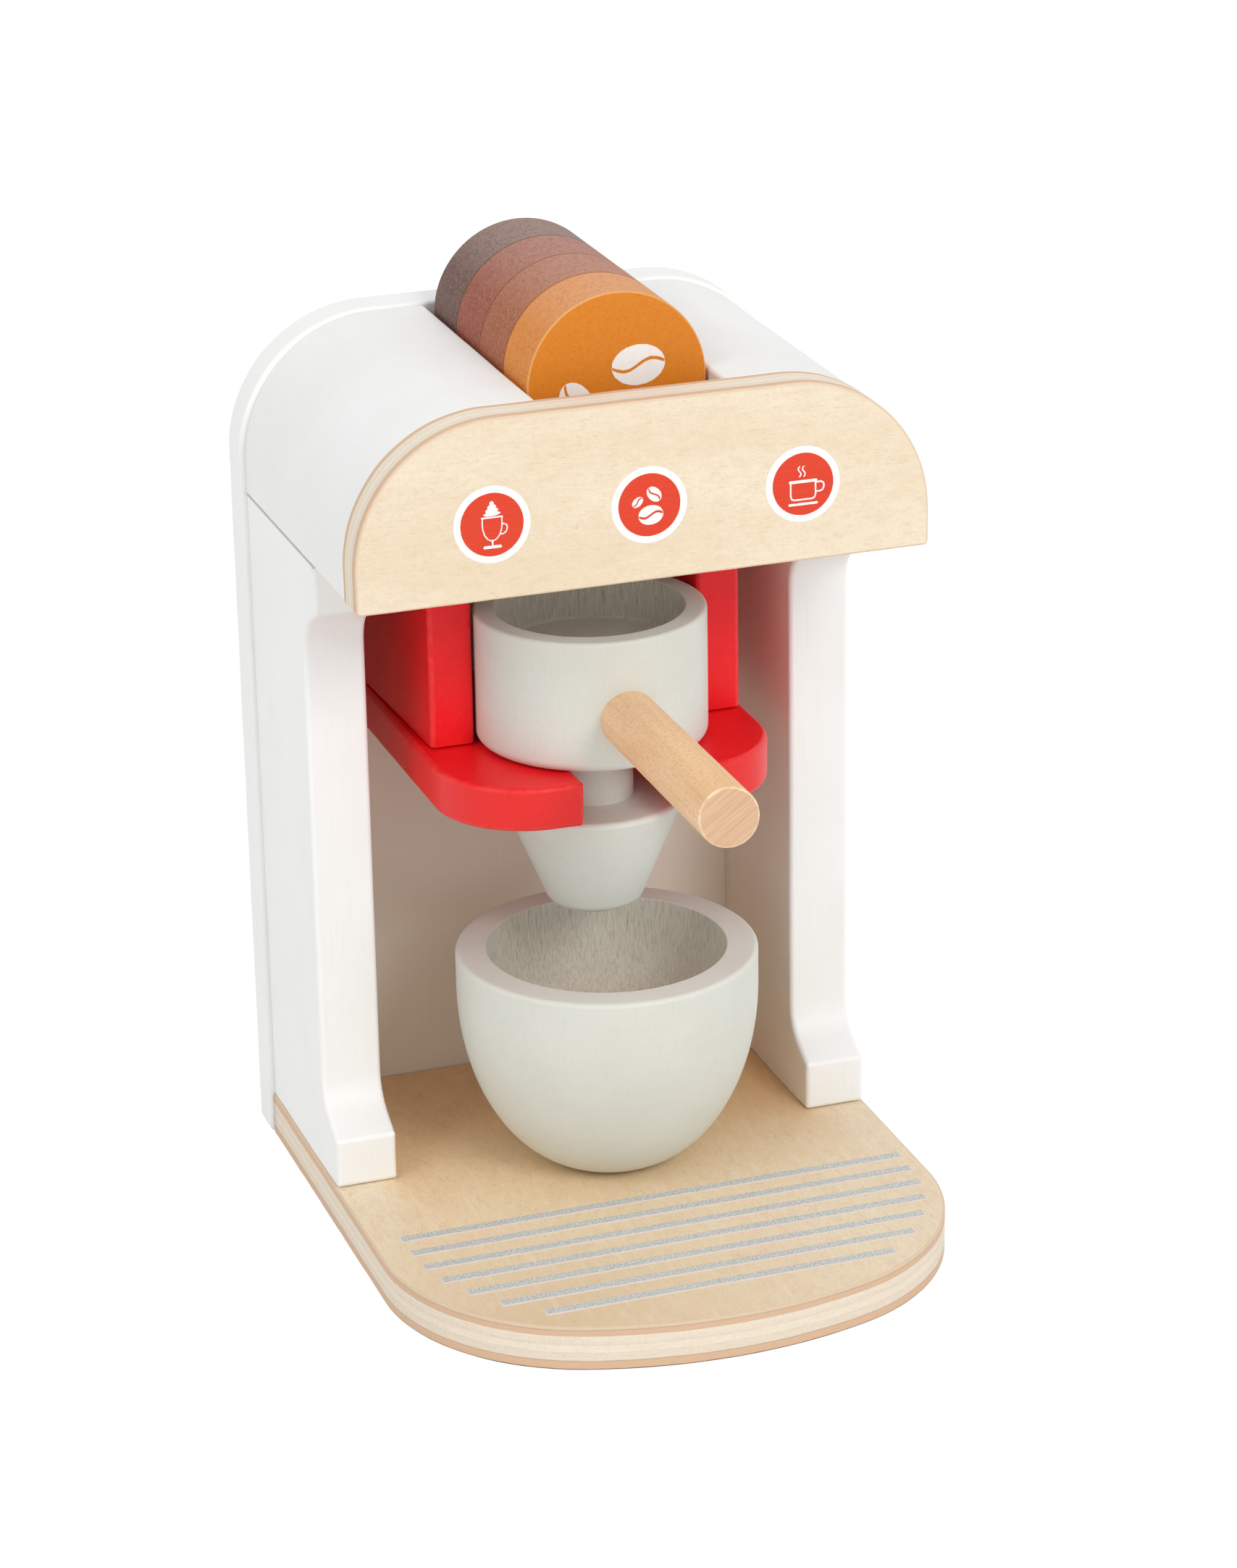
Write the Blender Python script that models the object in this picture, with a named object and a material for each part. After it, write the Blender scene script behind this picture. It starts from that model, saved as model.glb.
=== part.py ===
"""Wooden toy coffee machine with four capsules, a filter holder and a cup.

Frame: metres, +Z up, -Y to the front, origin under the middle of the whole set.
Heights are counted from the table. Depths are counted forward from the front
face of the back panel.
"""

import math

import bmesh
import bpy
from mathutils import Matrix, Vector

MM = 0.001

# Clearance between pieces that touch, rounding of sawn edges, and cutter overrun
GAP = 0.3 * MM
EDGE_ROUND = 0.9 * MM
OVERRUN = 1.0 * MM
EDGE_SEGMENTS = 2
SHOULDER_SEGMENTS = 12
TURNED_SEGMENTS = 48
PIN_SEGMENTS = 12
SMOOTH_ANGLE = math.radians(35)

# Whole set
OVERALL_DEPTH = 152.6 * MM

# Base plate
BASE_WIDTH = 120.8 * MM
BASE_THICKNESS = 9.6 * MM
BASE_DEPTH = 133.0 * MM
BASE_CORNER_RADIUS = 44.0 * MM
BASE_FRONT_RADIUS = 94.0 * MM
BASE_FRONT_SIDE = 1.3 * MM

# Back panel
BACK_WIDTH = 122.0 * MM
BACK_HEIGHT = 186.1 * MM
BACK_THICKNESS = 8.8 * MM
BACK_SHOULDER_RADIUS = 30.0 * MM

# Side walls
WALL_SPAN = 118.8 * MM
WALL_THICKNESS = 12.8 * MM
WALL_FOOT_DEPTH = 50.6 * MM
WALL_POST_DEPTH = 40.9 * MM
WALL_FOOT_HEIGHT = 10.6 * MM
WALL_COVE_RADIUS = 19.2 * MM
WALL_COVE_SEGMENTS = 8

# Head: two quarter-round blocks with the capsule channel between them
HEAD_WIDTH = 119.4 * MM
HEAD_BOTTOM = 148.8 * MM
HEAD_HEIGHT = 36.6 * MM
HEAD_DEPTH = 74.4 * MM
HEAD_SHOULDER_RADIUS = 29.2 * MM
CHANNEL_WIDTH = 39.0 * MM
CHANNEL_FLOOR_THICKNESS = 16.4 * MM

# Front panel
FRONT_WIDTH = 120.0 * MM
FRONT_BOTTOM = 148.4 * MM
FRONT_HEIGHT = 37.1 * MM
FRONT_THICKNESS = 8.8 * MM
FRONT_SHOULDER_RADIUS = 29.2 * MM

# Filter shelf and its two hangers
SHELF_TOP = 103.0 * MM
SHELF_THICKNESS = 9.5 * MM
SHELF_WIDTH = 71.8 * MM
SHELF_SIDE = -0.6 * MM
SHELF_DEPTH = 73.0 * MM
SHELF_CORNER_RADIUS = 20.0 * MM
HANGER_THICKNESS = 9.5 * MM
HANGER_DEPTH = 44.0 * MM
HANGER_FLARE = 1.6 * MM

# Filter holder
FILTER_DEPTH = 46.8 * MM
BOWL_RADIUS = 24.3 * MM
BOWL_HEIGHT = 28.2 * MM
BOWL_WALL = 4.5 * MM
BOWL_HOLLOW_DEPTH = 9.9 * MM
BOWL_FOOT_ROUND = 2.2 * MM
BOWL_RIM_ROUND = 0.8 * MM
NECK_RADIUS = 8.5 * MM
NECK_PLAY = 3.4 * MM
NECK_SOCKET_IN_BOWL = 6.0 * MM
NECK_SOCKET_IN_FUNNEL = 10.0 * MM
SLOT_CLEARANCE = 2.0 * MM
FUNNEL_RADIUS = 19.6 * MM
FUNNEL_HEIGHT = 24.0 * MM
FUNNEL_TIP_RADIUS = 9.6 * MM
FUNNEL_RIM_ROUND = 0.9 * MM
FUNNEL_TIP_ROUND = 3.0 * MM
HANDLE_RADIUS = 6.05 * MM
HANDLE_ROOT_HEIGHT = 11.4 * MM
HANDLE_SOCKET_DEPTH = 6.0 * MM
HANDLE_END_ROUND = 0.6 * MM
HANDLE_RISE = math.radians(4.9)
HANDLE_SWING = math.radians(-4.2)

# Cup
CUP_DEPTH = 52.7 * MM
CUP_SIDE = 0.4 * MM
CUP_RADIUS = 32.0 * MM
CUP_HEIGHT = 47.8 * MM
CUP_BAND = 8.4 * MM
CUP_FOOT_RADIUS = 12.0 * MM
CUP_BELLY_CENTRE_RADIUS = 5.9 * MM
CUP_WALL = 6.6 * MM
CUP_FLOOR = 8.0 * MM
CUP_HOLLOW_FLAT_RADIUS = 7.0 * MM
CUP_RIM_ROUND = 0.9 * MM
CUP_BELLY_SEGMENTS = 9

# Capsules: a row of them fills the channel but for some play at each end
CAPSULE_COUNT = 4
CAPSULE_RADIUS = 18.8 * MM
CAPSULE_ROUND = 0.4 * MM
CAPSULE_FRONT_PLAY = 7.7 * MM
CAPSULE_REAR_PLAY = 3.9 * MM

# Dowel pins: how far each end goes into the two boards that it joins
PIN_RADIUS = 2.5 * MM
PIN_SHALLOW_END = 5.0 * MM
PIN_DEEP_END = 7.5 * MM

# Paint and wood
WHITE = ((0.86, 0.86, 0.84), 0.45)
BIRCH = ((0.91, 0.78, 0.58), 0.55)
RED = ((0.76, 0.02, 0.02), 0.40)
GREY_GREEN = ((0.70, 0.71, 0.67), 0.50)
BEECH = ((0.75, 0.52, 0.29), 0.55)
ORANGE = ((0.73, 0.24, 0.02), 0.45)
TAN = ((0.42, 0.20, 0.13), 0.50)
RED_BROWN = ((0.31, 0.12, 0.10), 0.50)
DARK_BROWN = ((0.17, 0.11, 0.10), 0.50)

# Places that follow from the sizes above
REAR_Y = OVERALL_DEPTH / 2
PANEL_Y = REAR_Y - BACK_THICKNESS
WALL_X = WALL_SPAN / 2 - WALL_THICKNESS / 2
WALL_TOP = HEAD_BOTTOM - GAP
WALL_BOTTOM = BASE_THICKNESS + GAP
HEAD_TOP = HEAD_BOTTOM + HEAD_HEIGHT
FLOOR_TOP = HEAD_BOTTOM + CHANNEL_FLOOR_THICKNESS
BOWL_BOTTOM = SHELF_TOP + GAP
BOWL_TOP = BOWL_BOTTOM + BOWL_HEIGHT
HANGER_X = BOWL_RADIUS + GAP + HANGER_THICKNESS / 2
FUNNEL_TOP = SHELF_TOP - SHELF_THICKNESS - NECK_PLAY
FUNNEL_BOTTOM = FUNNEL_TOP - FUNNEL_HEIGHT
FILTER_Y = PANEL_Y - FILTER_DEPTH
CUP_Y = PANEL_Y - CUP_DEPTH
CUP_BOTTOM = BASE_THICKNESS + GAP
CAPSULE_FRONT_DEPTH = HEAD_DEPTH - CAPSULE_FRONT_PLAY
CAPSULE_PITCH = (CAPSULE_FRONT_DEPTH - CAPSULE_REAR_PLAY) / CAPSULE_COUNT
CAPSULE_THICKNESS = CAPSULE_PITCH - GAP


def depth_y(depth):
    """World Y of a depth counted forward from the back panel."""
    return PANEL_Y - depth


def clear_scene():
    for old in list(bpy.data.objects):
        bpy.data.objects.remove(old, do_unlink=True)


def painted(name, finish):
    """A plain Principled material for one object."""
    colour, roughness = finish
    material = bpy.data.materials.new(name)
    material.use_nodes = True
    shader = material.node_tree.nodes["Principled BSDF"]
    shader.inputs["Base Color"].default_value = (*colour, 1.0)
    shader.inputs["Roughness"].default_value = roughness
    shader.inputs["Metallic"].default_value = 0.0
    material.diffuse_color = (*colour, 1.0)
    return material


def add_object(name, shape, finish=None, place=(0, 0, 0)):
    """Turn a bmesh into a named object with its faces pointing out."""
    bmesh.ops.recalc_face_normals(shape, faces=shape.faces)
    mesh = bpy.data.meshes.new(name)
    shape.to_mesh(mesh)
    shape.free()
    mesh.shade_smooth()
    mesh.set_sharp_from_angle(angle=SMOOTH_ANGLE)
    piece = bpy.data.objects.new(name, mesh)
    piece.location = place
    bpy.context.collection.objects.link(piece)
    if finish:
        mesh.materials.append(painted(name, finish))
    return piece


def prism(outline, low, high, axis):
    """Extrude a closed outline along X, Y or Z between two planes."""
    corner = {
        "X": lambda u, v, w: (w, u, v),
        "Y": lambda u, v, w: (u, w, v),
        "Z": lambda u, v, w: (u, v, w),
    }[axis]
    shape = bmesh.new()
    near = [shape.verts.new(corner(u, v, low)) for u, v in outline]
    far = [shape.verts.new(corner(u, v, high)) for u, v in outline]
    shape.faces.new(near)
    shape.faces.new(list(reversed(far)))
    count = len(outline)
    for index in range(count):
        after = (index + 1) % count
        shape.faces.new((near[index], far[index], far[after], near[after]))
    return shape


def turned(profile, segments):
    """Spin (radius, height) points about Z. The first and last lie on the axis."""
    shape = bmesh.new()
    bottom = shape.verts.new((0, 0, profile[0][1]))
    top = shape.verts.new((0, 0, profile[-1][1]))
    rings = []
    for radius, height in profile[1:-1]:
        ring = []
        for step in range(segments):
            angle = math.tau * step / segments
            ring.append(shape.verts.new((radius * math.cos(angle), radius * math.sin(angle), height)))
        rings.append(ring)
    for step in range(segments):
        after = (step + 1) % segments
        shape.faces.new((bottom, rings[0][after], rings[0][step]))
        shape.faces.new((top, rings[-1][step], rings[-1][after]))
        for low, high in zip(rings, rings[1:]):
            shape.faces.new((low[step], low[after], high[after], high[step]))
    return shape


def arc(centre, radii, start, end, segments):
    """Points on an ellipse's arc, angles in degrees, both ends included."""
    points = []
    for step in range(segments + 1):
        angle = math.radians(start + (end - start) * step / segments)
        points.append((centre[0] + radii[0] * math.cos(angle), centre[1] + radii[1] * math.sin(angle)))
    return points


def shouldered_outline(left, right, bottom, top, left_radius, right_radius):
    """A board standing on its straight bottom edge, with round upper corners."""
    outline = [(left, bottom), (right, bottom)]
    if right_radius:
        centre = (right - right_radius, top - right_radius)
        outline += arc(centre, (right_radius, right_radius), 0, 90, SHOULDER_SEGMENTS)
    else:
        outline.append((right, top))
    if left_radius:
        centre = (left + left_radius, top - left_radius)
        outline += arc(centre, (left_radius, left_radius), 90, 180, SHOULDER_SEGMENTS)
    else:
        outline.append((left, top))
    return outline


def round_edges(piece, width=EDGE_ROUND):
    bevel = piece.modifiers.new("edge_round", "BEVEL")
    bevel.width = width
    bevel.segments = EDGE_SEGMENTS
    bevel.limit_method = "ANGLE"
    bevel.angle_limit = SMOOTH_ANGLE


def cut(piece, cutter):
    """Subtract a hidden cutter from a piece."""
    cutter.hide_render = True
    cutter.display_type = "WIRE"
    boolean = piece.modifiers.new("cut_" + cutter.name, "BOOLEAN")
    boolean.operation = "DIFFERENCE"
    boolean.object = cutter


def bar(radius, low, high, segments=TURNED_SEGMENTS):
    """A plain round bar along Z."""
    return turned([(0, low), (radius, low), (radius, high), (0, high)], segments)


def make_base_plate():
    """Outline: straight sides, large front corners and a gently curved front."""
    half = BASE_WIDTH / 2
    front_y = depth_y(BASE_DEPTH) + BASE_FRONT_RADIUS
    reach = BASE_FRONT_RADIUS - BASE_CORNER_RADIUS

    def front_corner(x):
        """Centre of a corner's arc, and the angle at which it meets the front's arc."""
        across = x - BASE_FRONT_SIDE
        down = math.sqrt(reach**2 - across**2)
        return (x, front_y - down), 360 - math.degrees(math.atan2(down, across))

    left, left_meet = front_corner(BASE_CORNER_RADIUS - half)
    right, right_meet = front_corner(half - BASE_CORNER_RADIUS)
    corner = (BASE_CORNER_RADIUS, BASE_CORNER_RADIUS)
    sweep = (BASE_FRONT_RADIUS, BASE_FRONT_RADIUS)
    rear = depth_y(GAP)
    outline = [(-half, rear)]
    outline += arc(left, corner, 180, left_meet, SHOULDER_SEGMENTS)
    outline += arc((BASE_FRONT_SIDE, front_y), sweep, left_meet, right_meet, SHOULDER_SEGMENTS)[1:-1]
    outline += arc(right, corner, right_meet, 360, SHOULDER_SEGMENTS)
    outline.append((half, rear))
    plate = add_object("base_plate", prism(outline, 0, BASE_THICKNESS, "Z"), BIRCH)
    round_edges(plate)
    return plate


def make_back_panel():
    half = BACK_WIDTH / 2
    radius = BACK_SHOULDER_RADIUS
    outline = shouldered_outline(-half, half, 0, BACK_HEIGHT, radius, radius)
    panel = add_object("back_panel", prism(outline, PANEL_Y, REAR_Y, "Y"), WHITE)
    round_edges(panel)
    return panel


def wall_profile():
    """Side view of a wall: its front is cut back in a cove above and below."""
    front = depth_y(WALL_FOOT_DEPTH)
    post = depth_y(WALL_POST_DEPTH)
    rear = depth_y(GAP)
    turn = math.degrees(math.acos(1 - (post - front) / WALL_COVE_RADIUS))
    rise = WALL_COVE_RADIUS * math.sin(math.radians(turn))
    foot = WALL_BOTTOM + WALL_FOOT_HEIGHT
    brow = WALL_TOP - WALL_FOOT_HEIGHT
    cove = (WALL_COVE_RADIUS, WALL_COVE_RADIUS)
    centre_y = post - WALL_COVE_RADIUS
    outline = [(front, WALL_BOTTOM), (front, foot)]
    outline += arc((centre_y, foot + rise), cove, -turn, 0, WALL_COVE_SEGMENTS)[1:]
    outline += arc((centre_y, brow - rise), cove, 0, turn, WALL_COVE_SEGMENTS)[:-1]
    outline += [(front, brow), (front, WALL_TOP), (rear, WALL_TOP), (rear, WALL_BOTTOM)]
    return outline


def make_walls():
    walls = {}
    for side, sign in (("left", -1), ("right", 1)):
        low = sign * WALL_X - WALL_THICKNESS / 2
        high = sign * WALL_X + WALL_THICKNESS / 2
        wall = add_object(side + "_wall", prism(wall_profile(), low, high, "X"), WHITE)
        round_edges(wall)
        walls[side] = wall
    return walls


def make_head_blocks():
    blocks = {}
    inner = CHANNEL_WIDTH / 2
    outer = HEAD_WIDTH / 2
    radius = HEAD_SHOULDER_RADIUS
    front = depth_y(HEAD_DEPTH)
    rear = depth_y(GAP)
    spans = {"left": (-outer, -inner, radius, 0), "right": (inner, outer, 0, radius)}
    for side, (low, high, low_radius, high_radius) in spans.items():
        outline = shouldered_outline(low, high, HEAD_BOTTOM, HEAD_TOP, low_radius, high_radius)
        block = add_object(side + "_head_block", prism(outline, front, rear, "Y"), WHITE)
        round_edges(block)
        blocks[side] = block
    return blocks


def make_channel_floor():
    half = CHANNEL_WIDTH / 2 - GAP
    outline = shouldered_outline(-half, half, HEAD_BOTTOM, FLOOR_TOP, 0, 0)
    board = prism(outline, depth_y(HEAD_DEPTH), depth_y(GAP), "Y")
    return add_object("channel_floor", board, WHITE)


def make_front_panel():
    half = FRONT_WIDTH / 2
    radius = FRONT_SHOULDER_RADIUS
    top = FRONT_BOTTOM + FRONT_HEIGHT
    rear = depth_y(HEAD_DEPTH + GAP)
    outline = shouldered_outline(-half, half, FRONT_BOTTOM, top, radius, radius)
    panel = add_object("front_panel", prism(outline, rear - FRONT_THICKNESS, rear, "Y"), BIRCH)
    round_edges(panel)
    return panel


def make_filter_shelf():
    """Shelf with round front corners, and a slot open to the front for the neck."""
    left = SHELF_SIDE - SHELF_WIDTH / 2
    right = SHELF_SIDE + SHELF_WIDTH / 2
    front = depth_y(SHELF_DEPTH)
    rear = depth_y(GAP)
    slot = NECK_RADIUS + SLOT_CLEARANCE
    radius = SHELF_CORNER_RADIUS
    corner = (radius, radius)
    outline = [(left, rear)]
    outline += arc((left + radius, front + radius), corner, 180, 270, SHOULDER_SEGMENTS)
    outline.append((-slot, front))
    outline += arc((0, FILTER_Y), (slot, slot), 180, 0, SHOULDER_SEGMENTS)
    outline.append((slot, front))
    outline += arc((right - radius, front + radius), corner, 270, 360, SHOULDER_SEGMENTS)
    outline.append((right, rear))
    shelf = add_object("filter_shelf", prism(outline, SHELF_TOP - SHELF_THICKNESS, SHELF_TOP, "Z"), RED)
    round_edges(shelf)
    return shelf


def make_hangers():
    """Blocks between shelf and head, a little thicker at the back panel than in front."""
    hangers = {}
    front = depth_y(HANGER_DEPTH)
    rear = depth_y(GAP)
    for side, sign in (("left", -1), ("right", 1)):
        inner = sign * (HANGER_X - HANGER_THICKNESS / 2)
        outer = sign * (HANGER_X + HANGER_THICKNESS / 2)
        outline = [(outer + sign * HANGER_FLARE, rear), (outer, front), (inner, front), (inner, rear)]
        board = prism(outline, SHELF_TOP + GAP, HEAD_BOTTOM - GAP, "Z")
        hanger = add_object(side + "_hanger", board, RED)
        round_edges(hanger)
        hangers[side] = hanger
    return hangers


def handle_turn():
    """Turns +Z to the handle's direction: forward, a little up and a little aside."""
    lean = Matrix.Rotation(math.pi / 2 - HANDLE_RISE, 4, "X")
    return Matrix.Rotation(HANDLE_SWING, 4, "Z") @ lean


def handle_root():
    """The handle's axis enters the bowl at the middle of its front."""
    return Vector((0, FILTER_Y - BOWL_RADIUS, BOWL_BOTTOM + HANDLE_ROOT_HEIGHT))


def rounded_ring(radius, height, turn, size):
    """Profile points of a convex quarter-round on a turned edge."""
    start, end = turn
    return arc((radius, height), (size, size), start, end, EDGE_SEGMENTS)


def make_filter_bowl():
    radius = BOWL_RADIUS
    foot = BOWL_FOOT_ROUND
    rim = BOWL_RIM_ROUND
    inner = radius - BOWL_WALL
    floor = BOWL_HEIGHT - BOWL_HOLLOW_DEPTH
    profile = [(0, 0)]
    profile += rounded_ring(radius - foot, foot, (-90, 0), foot)
    profile += rounded_ring(radius - rim, BOWL_HEIGHT - rim, (0, 90), rim)
    profile += [(inner, BOWL_HEIGHT), (inner, floor), (0, floor)]
    place = (0, FILTER_Y, BOWL_BOTTOM)
    bowl = add_object("filter_bowl", turned(profile, TURNED_SEGMENTS), GREY_GREEN, place)
    neck_hole = bar(NECK_RADIUS + GAP, -OVERRUN, NECK_SOCKET_IN_BOWL + GAP)
    cut(bowl, add_object("neck_hole_in_bowl", neck_hole, place=place))
    handle_hole = bar(HANDLE_RADIUS + GAP, -HANDLE_SOCKET_DEPTH - GAP, BOWL_RADIUS)
    handle_cutter = add_object("handle_hole", handle_hole)
    handle_cutter.matrix_world = Matrix.Translation(handle_root()) @ handle_turn()
    cut(bowl, handle_cutter)
    return bowl


def make_filter_neck():
    low = FUNNEL_TOP - NECK_SOCKET_IN_FUNNEL
    high = BOWL_BOTTOM + NECK_SOCKET_IN_BOWL
    neck = bar(NECK_RADIUS, 0, high - low)
    return add_object("filter_neck", neck, GREY_GREEN, (0, FILTER_Y, low))


def make_filter_funnel():
    rim = FUNNEL_RIM_ROUND
    tip = FUNNEL_TIP_ROUND
    profile = [(0, 0)]
    slope = math.degrees(math.atan2(FUNNEL_RADIUS - FUNNEL_TIP_RADIUS, FUNNEL_HEIGHT))
    profile += rounded_ring(FUNNEL_TIP_RADIUS - tip / 2, tip, (-90, -slope), tip)
    profile += rounded_ring(FUNNEL_RADIUS - rim, FUNNEL_HEIGHT - rim, (-slope, 90), rim)
    profile.append((0, FUNNEL_HEIGHT))
    place = (0, FILTER_Y, FUNNEL_BOTTOM)
    funnel = add_object("filter_funnel", turned(profile, TURNED_SEGMENTS), GREY_GREEN, place)
    socket = FUNNEL_HEIGHT - NECK_SOCKET_IN_FUNNEL - GAP
    neck_hole = bar(NECK_RADIUS + GAP, socket, FUNNEL_HEIGHT + OVERRUN)
    cut(funnel, add_object("neck_hole_in_funnel", neck_hole, place=place))
    return funnel


def make_filter_handle():
    """A dowel whose end reaches to the front of the whole set."""
    root = handle_root()
    direction = handle_turn() @ Vector((0, 0, 1))
    end_overhang = HANDLE_RADIUS * math.sqrt(1 - direction.y**2)
    tip_y = end_overhang - OVERALL_DEPTH / 2
    length = (tip_y - root.y) / direction.y
    low = -HANDLE_SOCKET_DEPTH
    end = HANDLE_END_ROUND
    radius = HANDLE_RADIUS
    profile = [(0, low)]
    profile.append((radius, low))
    profile += rounded_ring(radius - end, length - end, (0, 90), end)
    profile.append((0, length))
    handle = add_object("filter_handle", turned(profile, TURNED_SEGMENTS), BEECH)
    handle.matrix_world = Matrix.Translation(root) @ handle_turn()
    return handle


def cup_profile():
    """Outer belly, rim and hollow of the cup, as (radius, height) from its foot."""
    belly_top = CUP_HEIGHT - CUP_BAND
    belly_width = CUP_RADIUS - CUP_BELLY_CENTRE_RADIUS
    foot_turn = math.acos((CUP_FOOT_RADIUS - CUP_BELLY_CENTRE_RADIUS) / belly_width)
    belly_drop = belly_top / math.sin(foot_turn)
    belly = (belly_width, belly_drop)
    centre = (CUP_BELLY_CENTRE_RADIUS, belly_top)
    rim = CUP_RIM_ROUND
    inner = CUP_RADIUS - CUP_WALL
    hollow = (inner - CUP_HOLLOW_FLAT_RADIUS, CUP_HEIGHT - CUP_FLOOR)
    profile = [(0, 0)]
    profile += arc(centre, belly, -math.degrees(foot_turn), 0, CUP_BELLY_SEGMENTS)
    profile += rounded_ring(CUP_RADIUS - rim, CUP_HEIGHT - rim, (0, 90), rim)
    profile += arc((CUP_HOLLOW_FLAT_RADIUS, CUP_HEIGHT), hollow, 0, -90, CUP_BELLY_SEGMENTS)
    profile.append((0, CUP_FLOOR))
    return profile


def make_cup():
    place = (CUP_SIDE, CUP_Y, CUP_BOTTOM)
    return add_object("coffee_cup", turned(cup_profile(), TURNED_SEGMENTS), GREY_GREEN, place)


def make_capsules():
    """Four wooden discs that stand on edge, one behind the other."""
    finishes = {
        "capsule_orange": ORANGE,
        "capsule_tan": TAN,
        "capsule_red_brown": RED_BROWN,
        "capsule_dark_brown": DARK_BROWN,
    }
    edge = CAPSULE_ROUND
    radius = CAPSULE_RADIUS
    profile = [(0, 0)]
    profile += rounded_ring(radius - edge, edge, (-90, 0), edge)
    profile += rounded_ring(radius - edge, CAPSULE_THICKNESS - edge, (0, 90), edge)
    profile.append((0, CAPSULE_THICKNESS))
    for index, (name, finish) in enumerate(finishes.items()):
        face_y = depth_y(CAPSULE_FRONT_DEPTH) + index * CAPSULE_PITCH
        disc = add_object(name, turned(profile, TURNED_SEGMENTS), finish)
        disc.location = (0, face_y + CAPSULE_THICKNESS, FLOOR_TOP + GAP + radius)
        disc.rotation_euler = (math.pi / 2, 0, 0)


# Which way a pin's deep end points
TURNS = {
    "up": Matrix.Identity(4),
    "front": Matrix.Rotation(math.pi / 2, 4, "X"),
    "back": Matrix.Rotation(-math.pi / 2, 4, "X"),
    "left": Matrix.Rotation(-math.pi / 2, 4, "Y"),
    "right": Matrix.Rotation(math.pi / 2, 4, "Y"),
}


def pin(name, place, way, shallow_board, deep_board):
    """One glued dowel across the joint of two boards, with a socket in each."""
    turn = Matrix.Translation(place) @ TURNS[way]
    dowel = add_object(name, bar(PIN_RADIUS, -PIN_SHALLOW_END, PIN_DEEP_END, PIN_SEGMENTS), BEECH)
    dowel.matrix_world = turn
    low = -PIN_SHALLOW_END - GAP
    high = PIN_DEEP_END + GAP
    socket = add_object(name + "_socket", bar(PIN_RADIUS + GAP, low, high, PIN_SEGMENTS))
    socket.matrix_world = turn
    cut(shallow_board, socket)
    cut(deep_board, socket)


def pin_pair(name, places, way, shallow_board, deep_board):
    for number, place in enumerate(places, 1):
        pin(name + "_pin_" + str(number), place, way, shallow_board, deep_board)


# Where the pins lie, as shares of the board that carries them
WALL_PIN_DEPTH_SHARES = (0.22, 0.70)
BACK_PIN_HEIGHT_SHARES = (0.30, 0.80)
HANGER_PIN_DEPTH_SHARES = (0.20, 0.75)
FLOOR_PIN_DEPTH_SHARES = (0.30, 0.85)
FRONT_PIN_WIDTH_SHARES = (0.26, 0.72)
FRONT_PIN_HEIGHT_SHARES = (0.74, 0.36)


def make_pins(base, back, walls, blocks, floor, front, shelf, hangers):
    floor_height = HEAD_BOTTOM + CHANNEL_FLOOR_THICKNESS / 2
    front_y = depth_y(HEAD_DEPTH)
    for side, sign in (("left", -1), ("right", 1)):
        wall_x = sign * WALL_X
        hanger_x = sign * HANGER_X
        wall_depths = [share * WALL_POST_DEPTH for share in WALL_PIN_DEPTH_SHARES]
        feet = [(wall_x, depth_y(depth), BASE_THICKNESS) for depth in wall_depths]
        heads = [(wall_x, depth_y(depth), HEAD_BOTTOM) for depth in wall_depths]
        backs = [(wall_x, PANEL_Y, share * HEAD_BOTTOM) for share in BACK_PIN_HEIGHT_SHARES]
        hanger_depths = [share * HANGER_DEPTH for share in HANGER_PIN_DEPTH_SHARES]
        tops = [(hanger_x, depth_y(depth), HEAD_BOTTOM) for depth in hanger_depths]
        seats = [(hanger_x, depth_y(depth), SHELF_TOP) for depth in hanger_depths]
        floor_x = sign * CHANNEL_WIDTH / 2
        floor_depths = [share * HEAD_DEPTH for share in FLOOR_PIN_DEPTH_SHARES]
        joints = [(floor_x, depth_y(depth), floor_height) for depth in floor_depths]
        faces = []
        for width_share, height_share in zip(FRONT_PIN_WIDTH_SHARES, FRONT_PIN_HEIGHT_SHARES):
            across = floor_x + sign * width_share * (HEAD_WIDTH - CHANNEL_WIDTH) / 2
            faces.append((across, front_y, HEAD_BOTTOM + height_share * HEAD_HEIGHT))
        pin_pair("base_" + side, feet, "up", base, walls[side])
        pin_pair("head_" + side, heads, "up", walls[side], blocks[side])
        pin_pair("back_" + side, backs, "front", back, walls[side])
        pin_pair("shelf_" + side, seats, "up", shelf, hangers[side])
        pin_pair("hanger_" + side, tops, "up", hangers[side], blocks[side])
        pin_pair("floor_" + side, joints, side, floor, blocks[side])
        pin_pair("front_" + side, faces, "back", front, blocks[side])


def main():
    clear_scene()
    base = make_base_plate()
    back = make_back_panel()
    walls = make_walls()
    blocks = make_head_blocks()
    floor = make_channel_floor()
    front = make_front_panel()
    shelf = make_filter_shelf()
    hangers = make_hangers()
    make_pins(base, back, walls, blocks, floor, front, shelf, hangers)
    make_filter_bowl()
    make_filter_neck()
    make_filter_funnel()
    make_filter_handle()
    make_cup()
    make_capsules()


main()
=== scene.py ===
"""Looks of the wooden toy coffee machine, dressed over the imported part.

Every piece is in metres in the part's own frame: +Z up, -Y to the front.
Sizes and places come from the part's nodes. The roundings, prints and finishes
that the part leaves out are named here.
"""

import math
from collections import namedtuple

import bmesh
import bpy
from mathutils import Color, Matrix, Vector, noise


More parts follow.
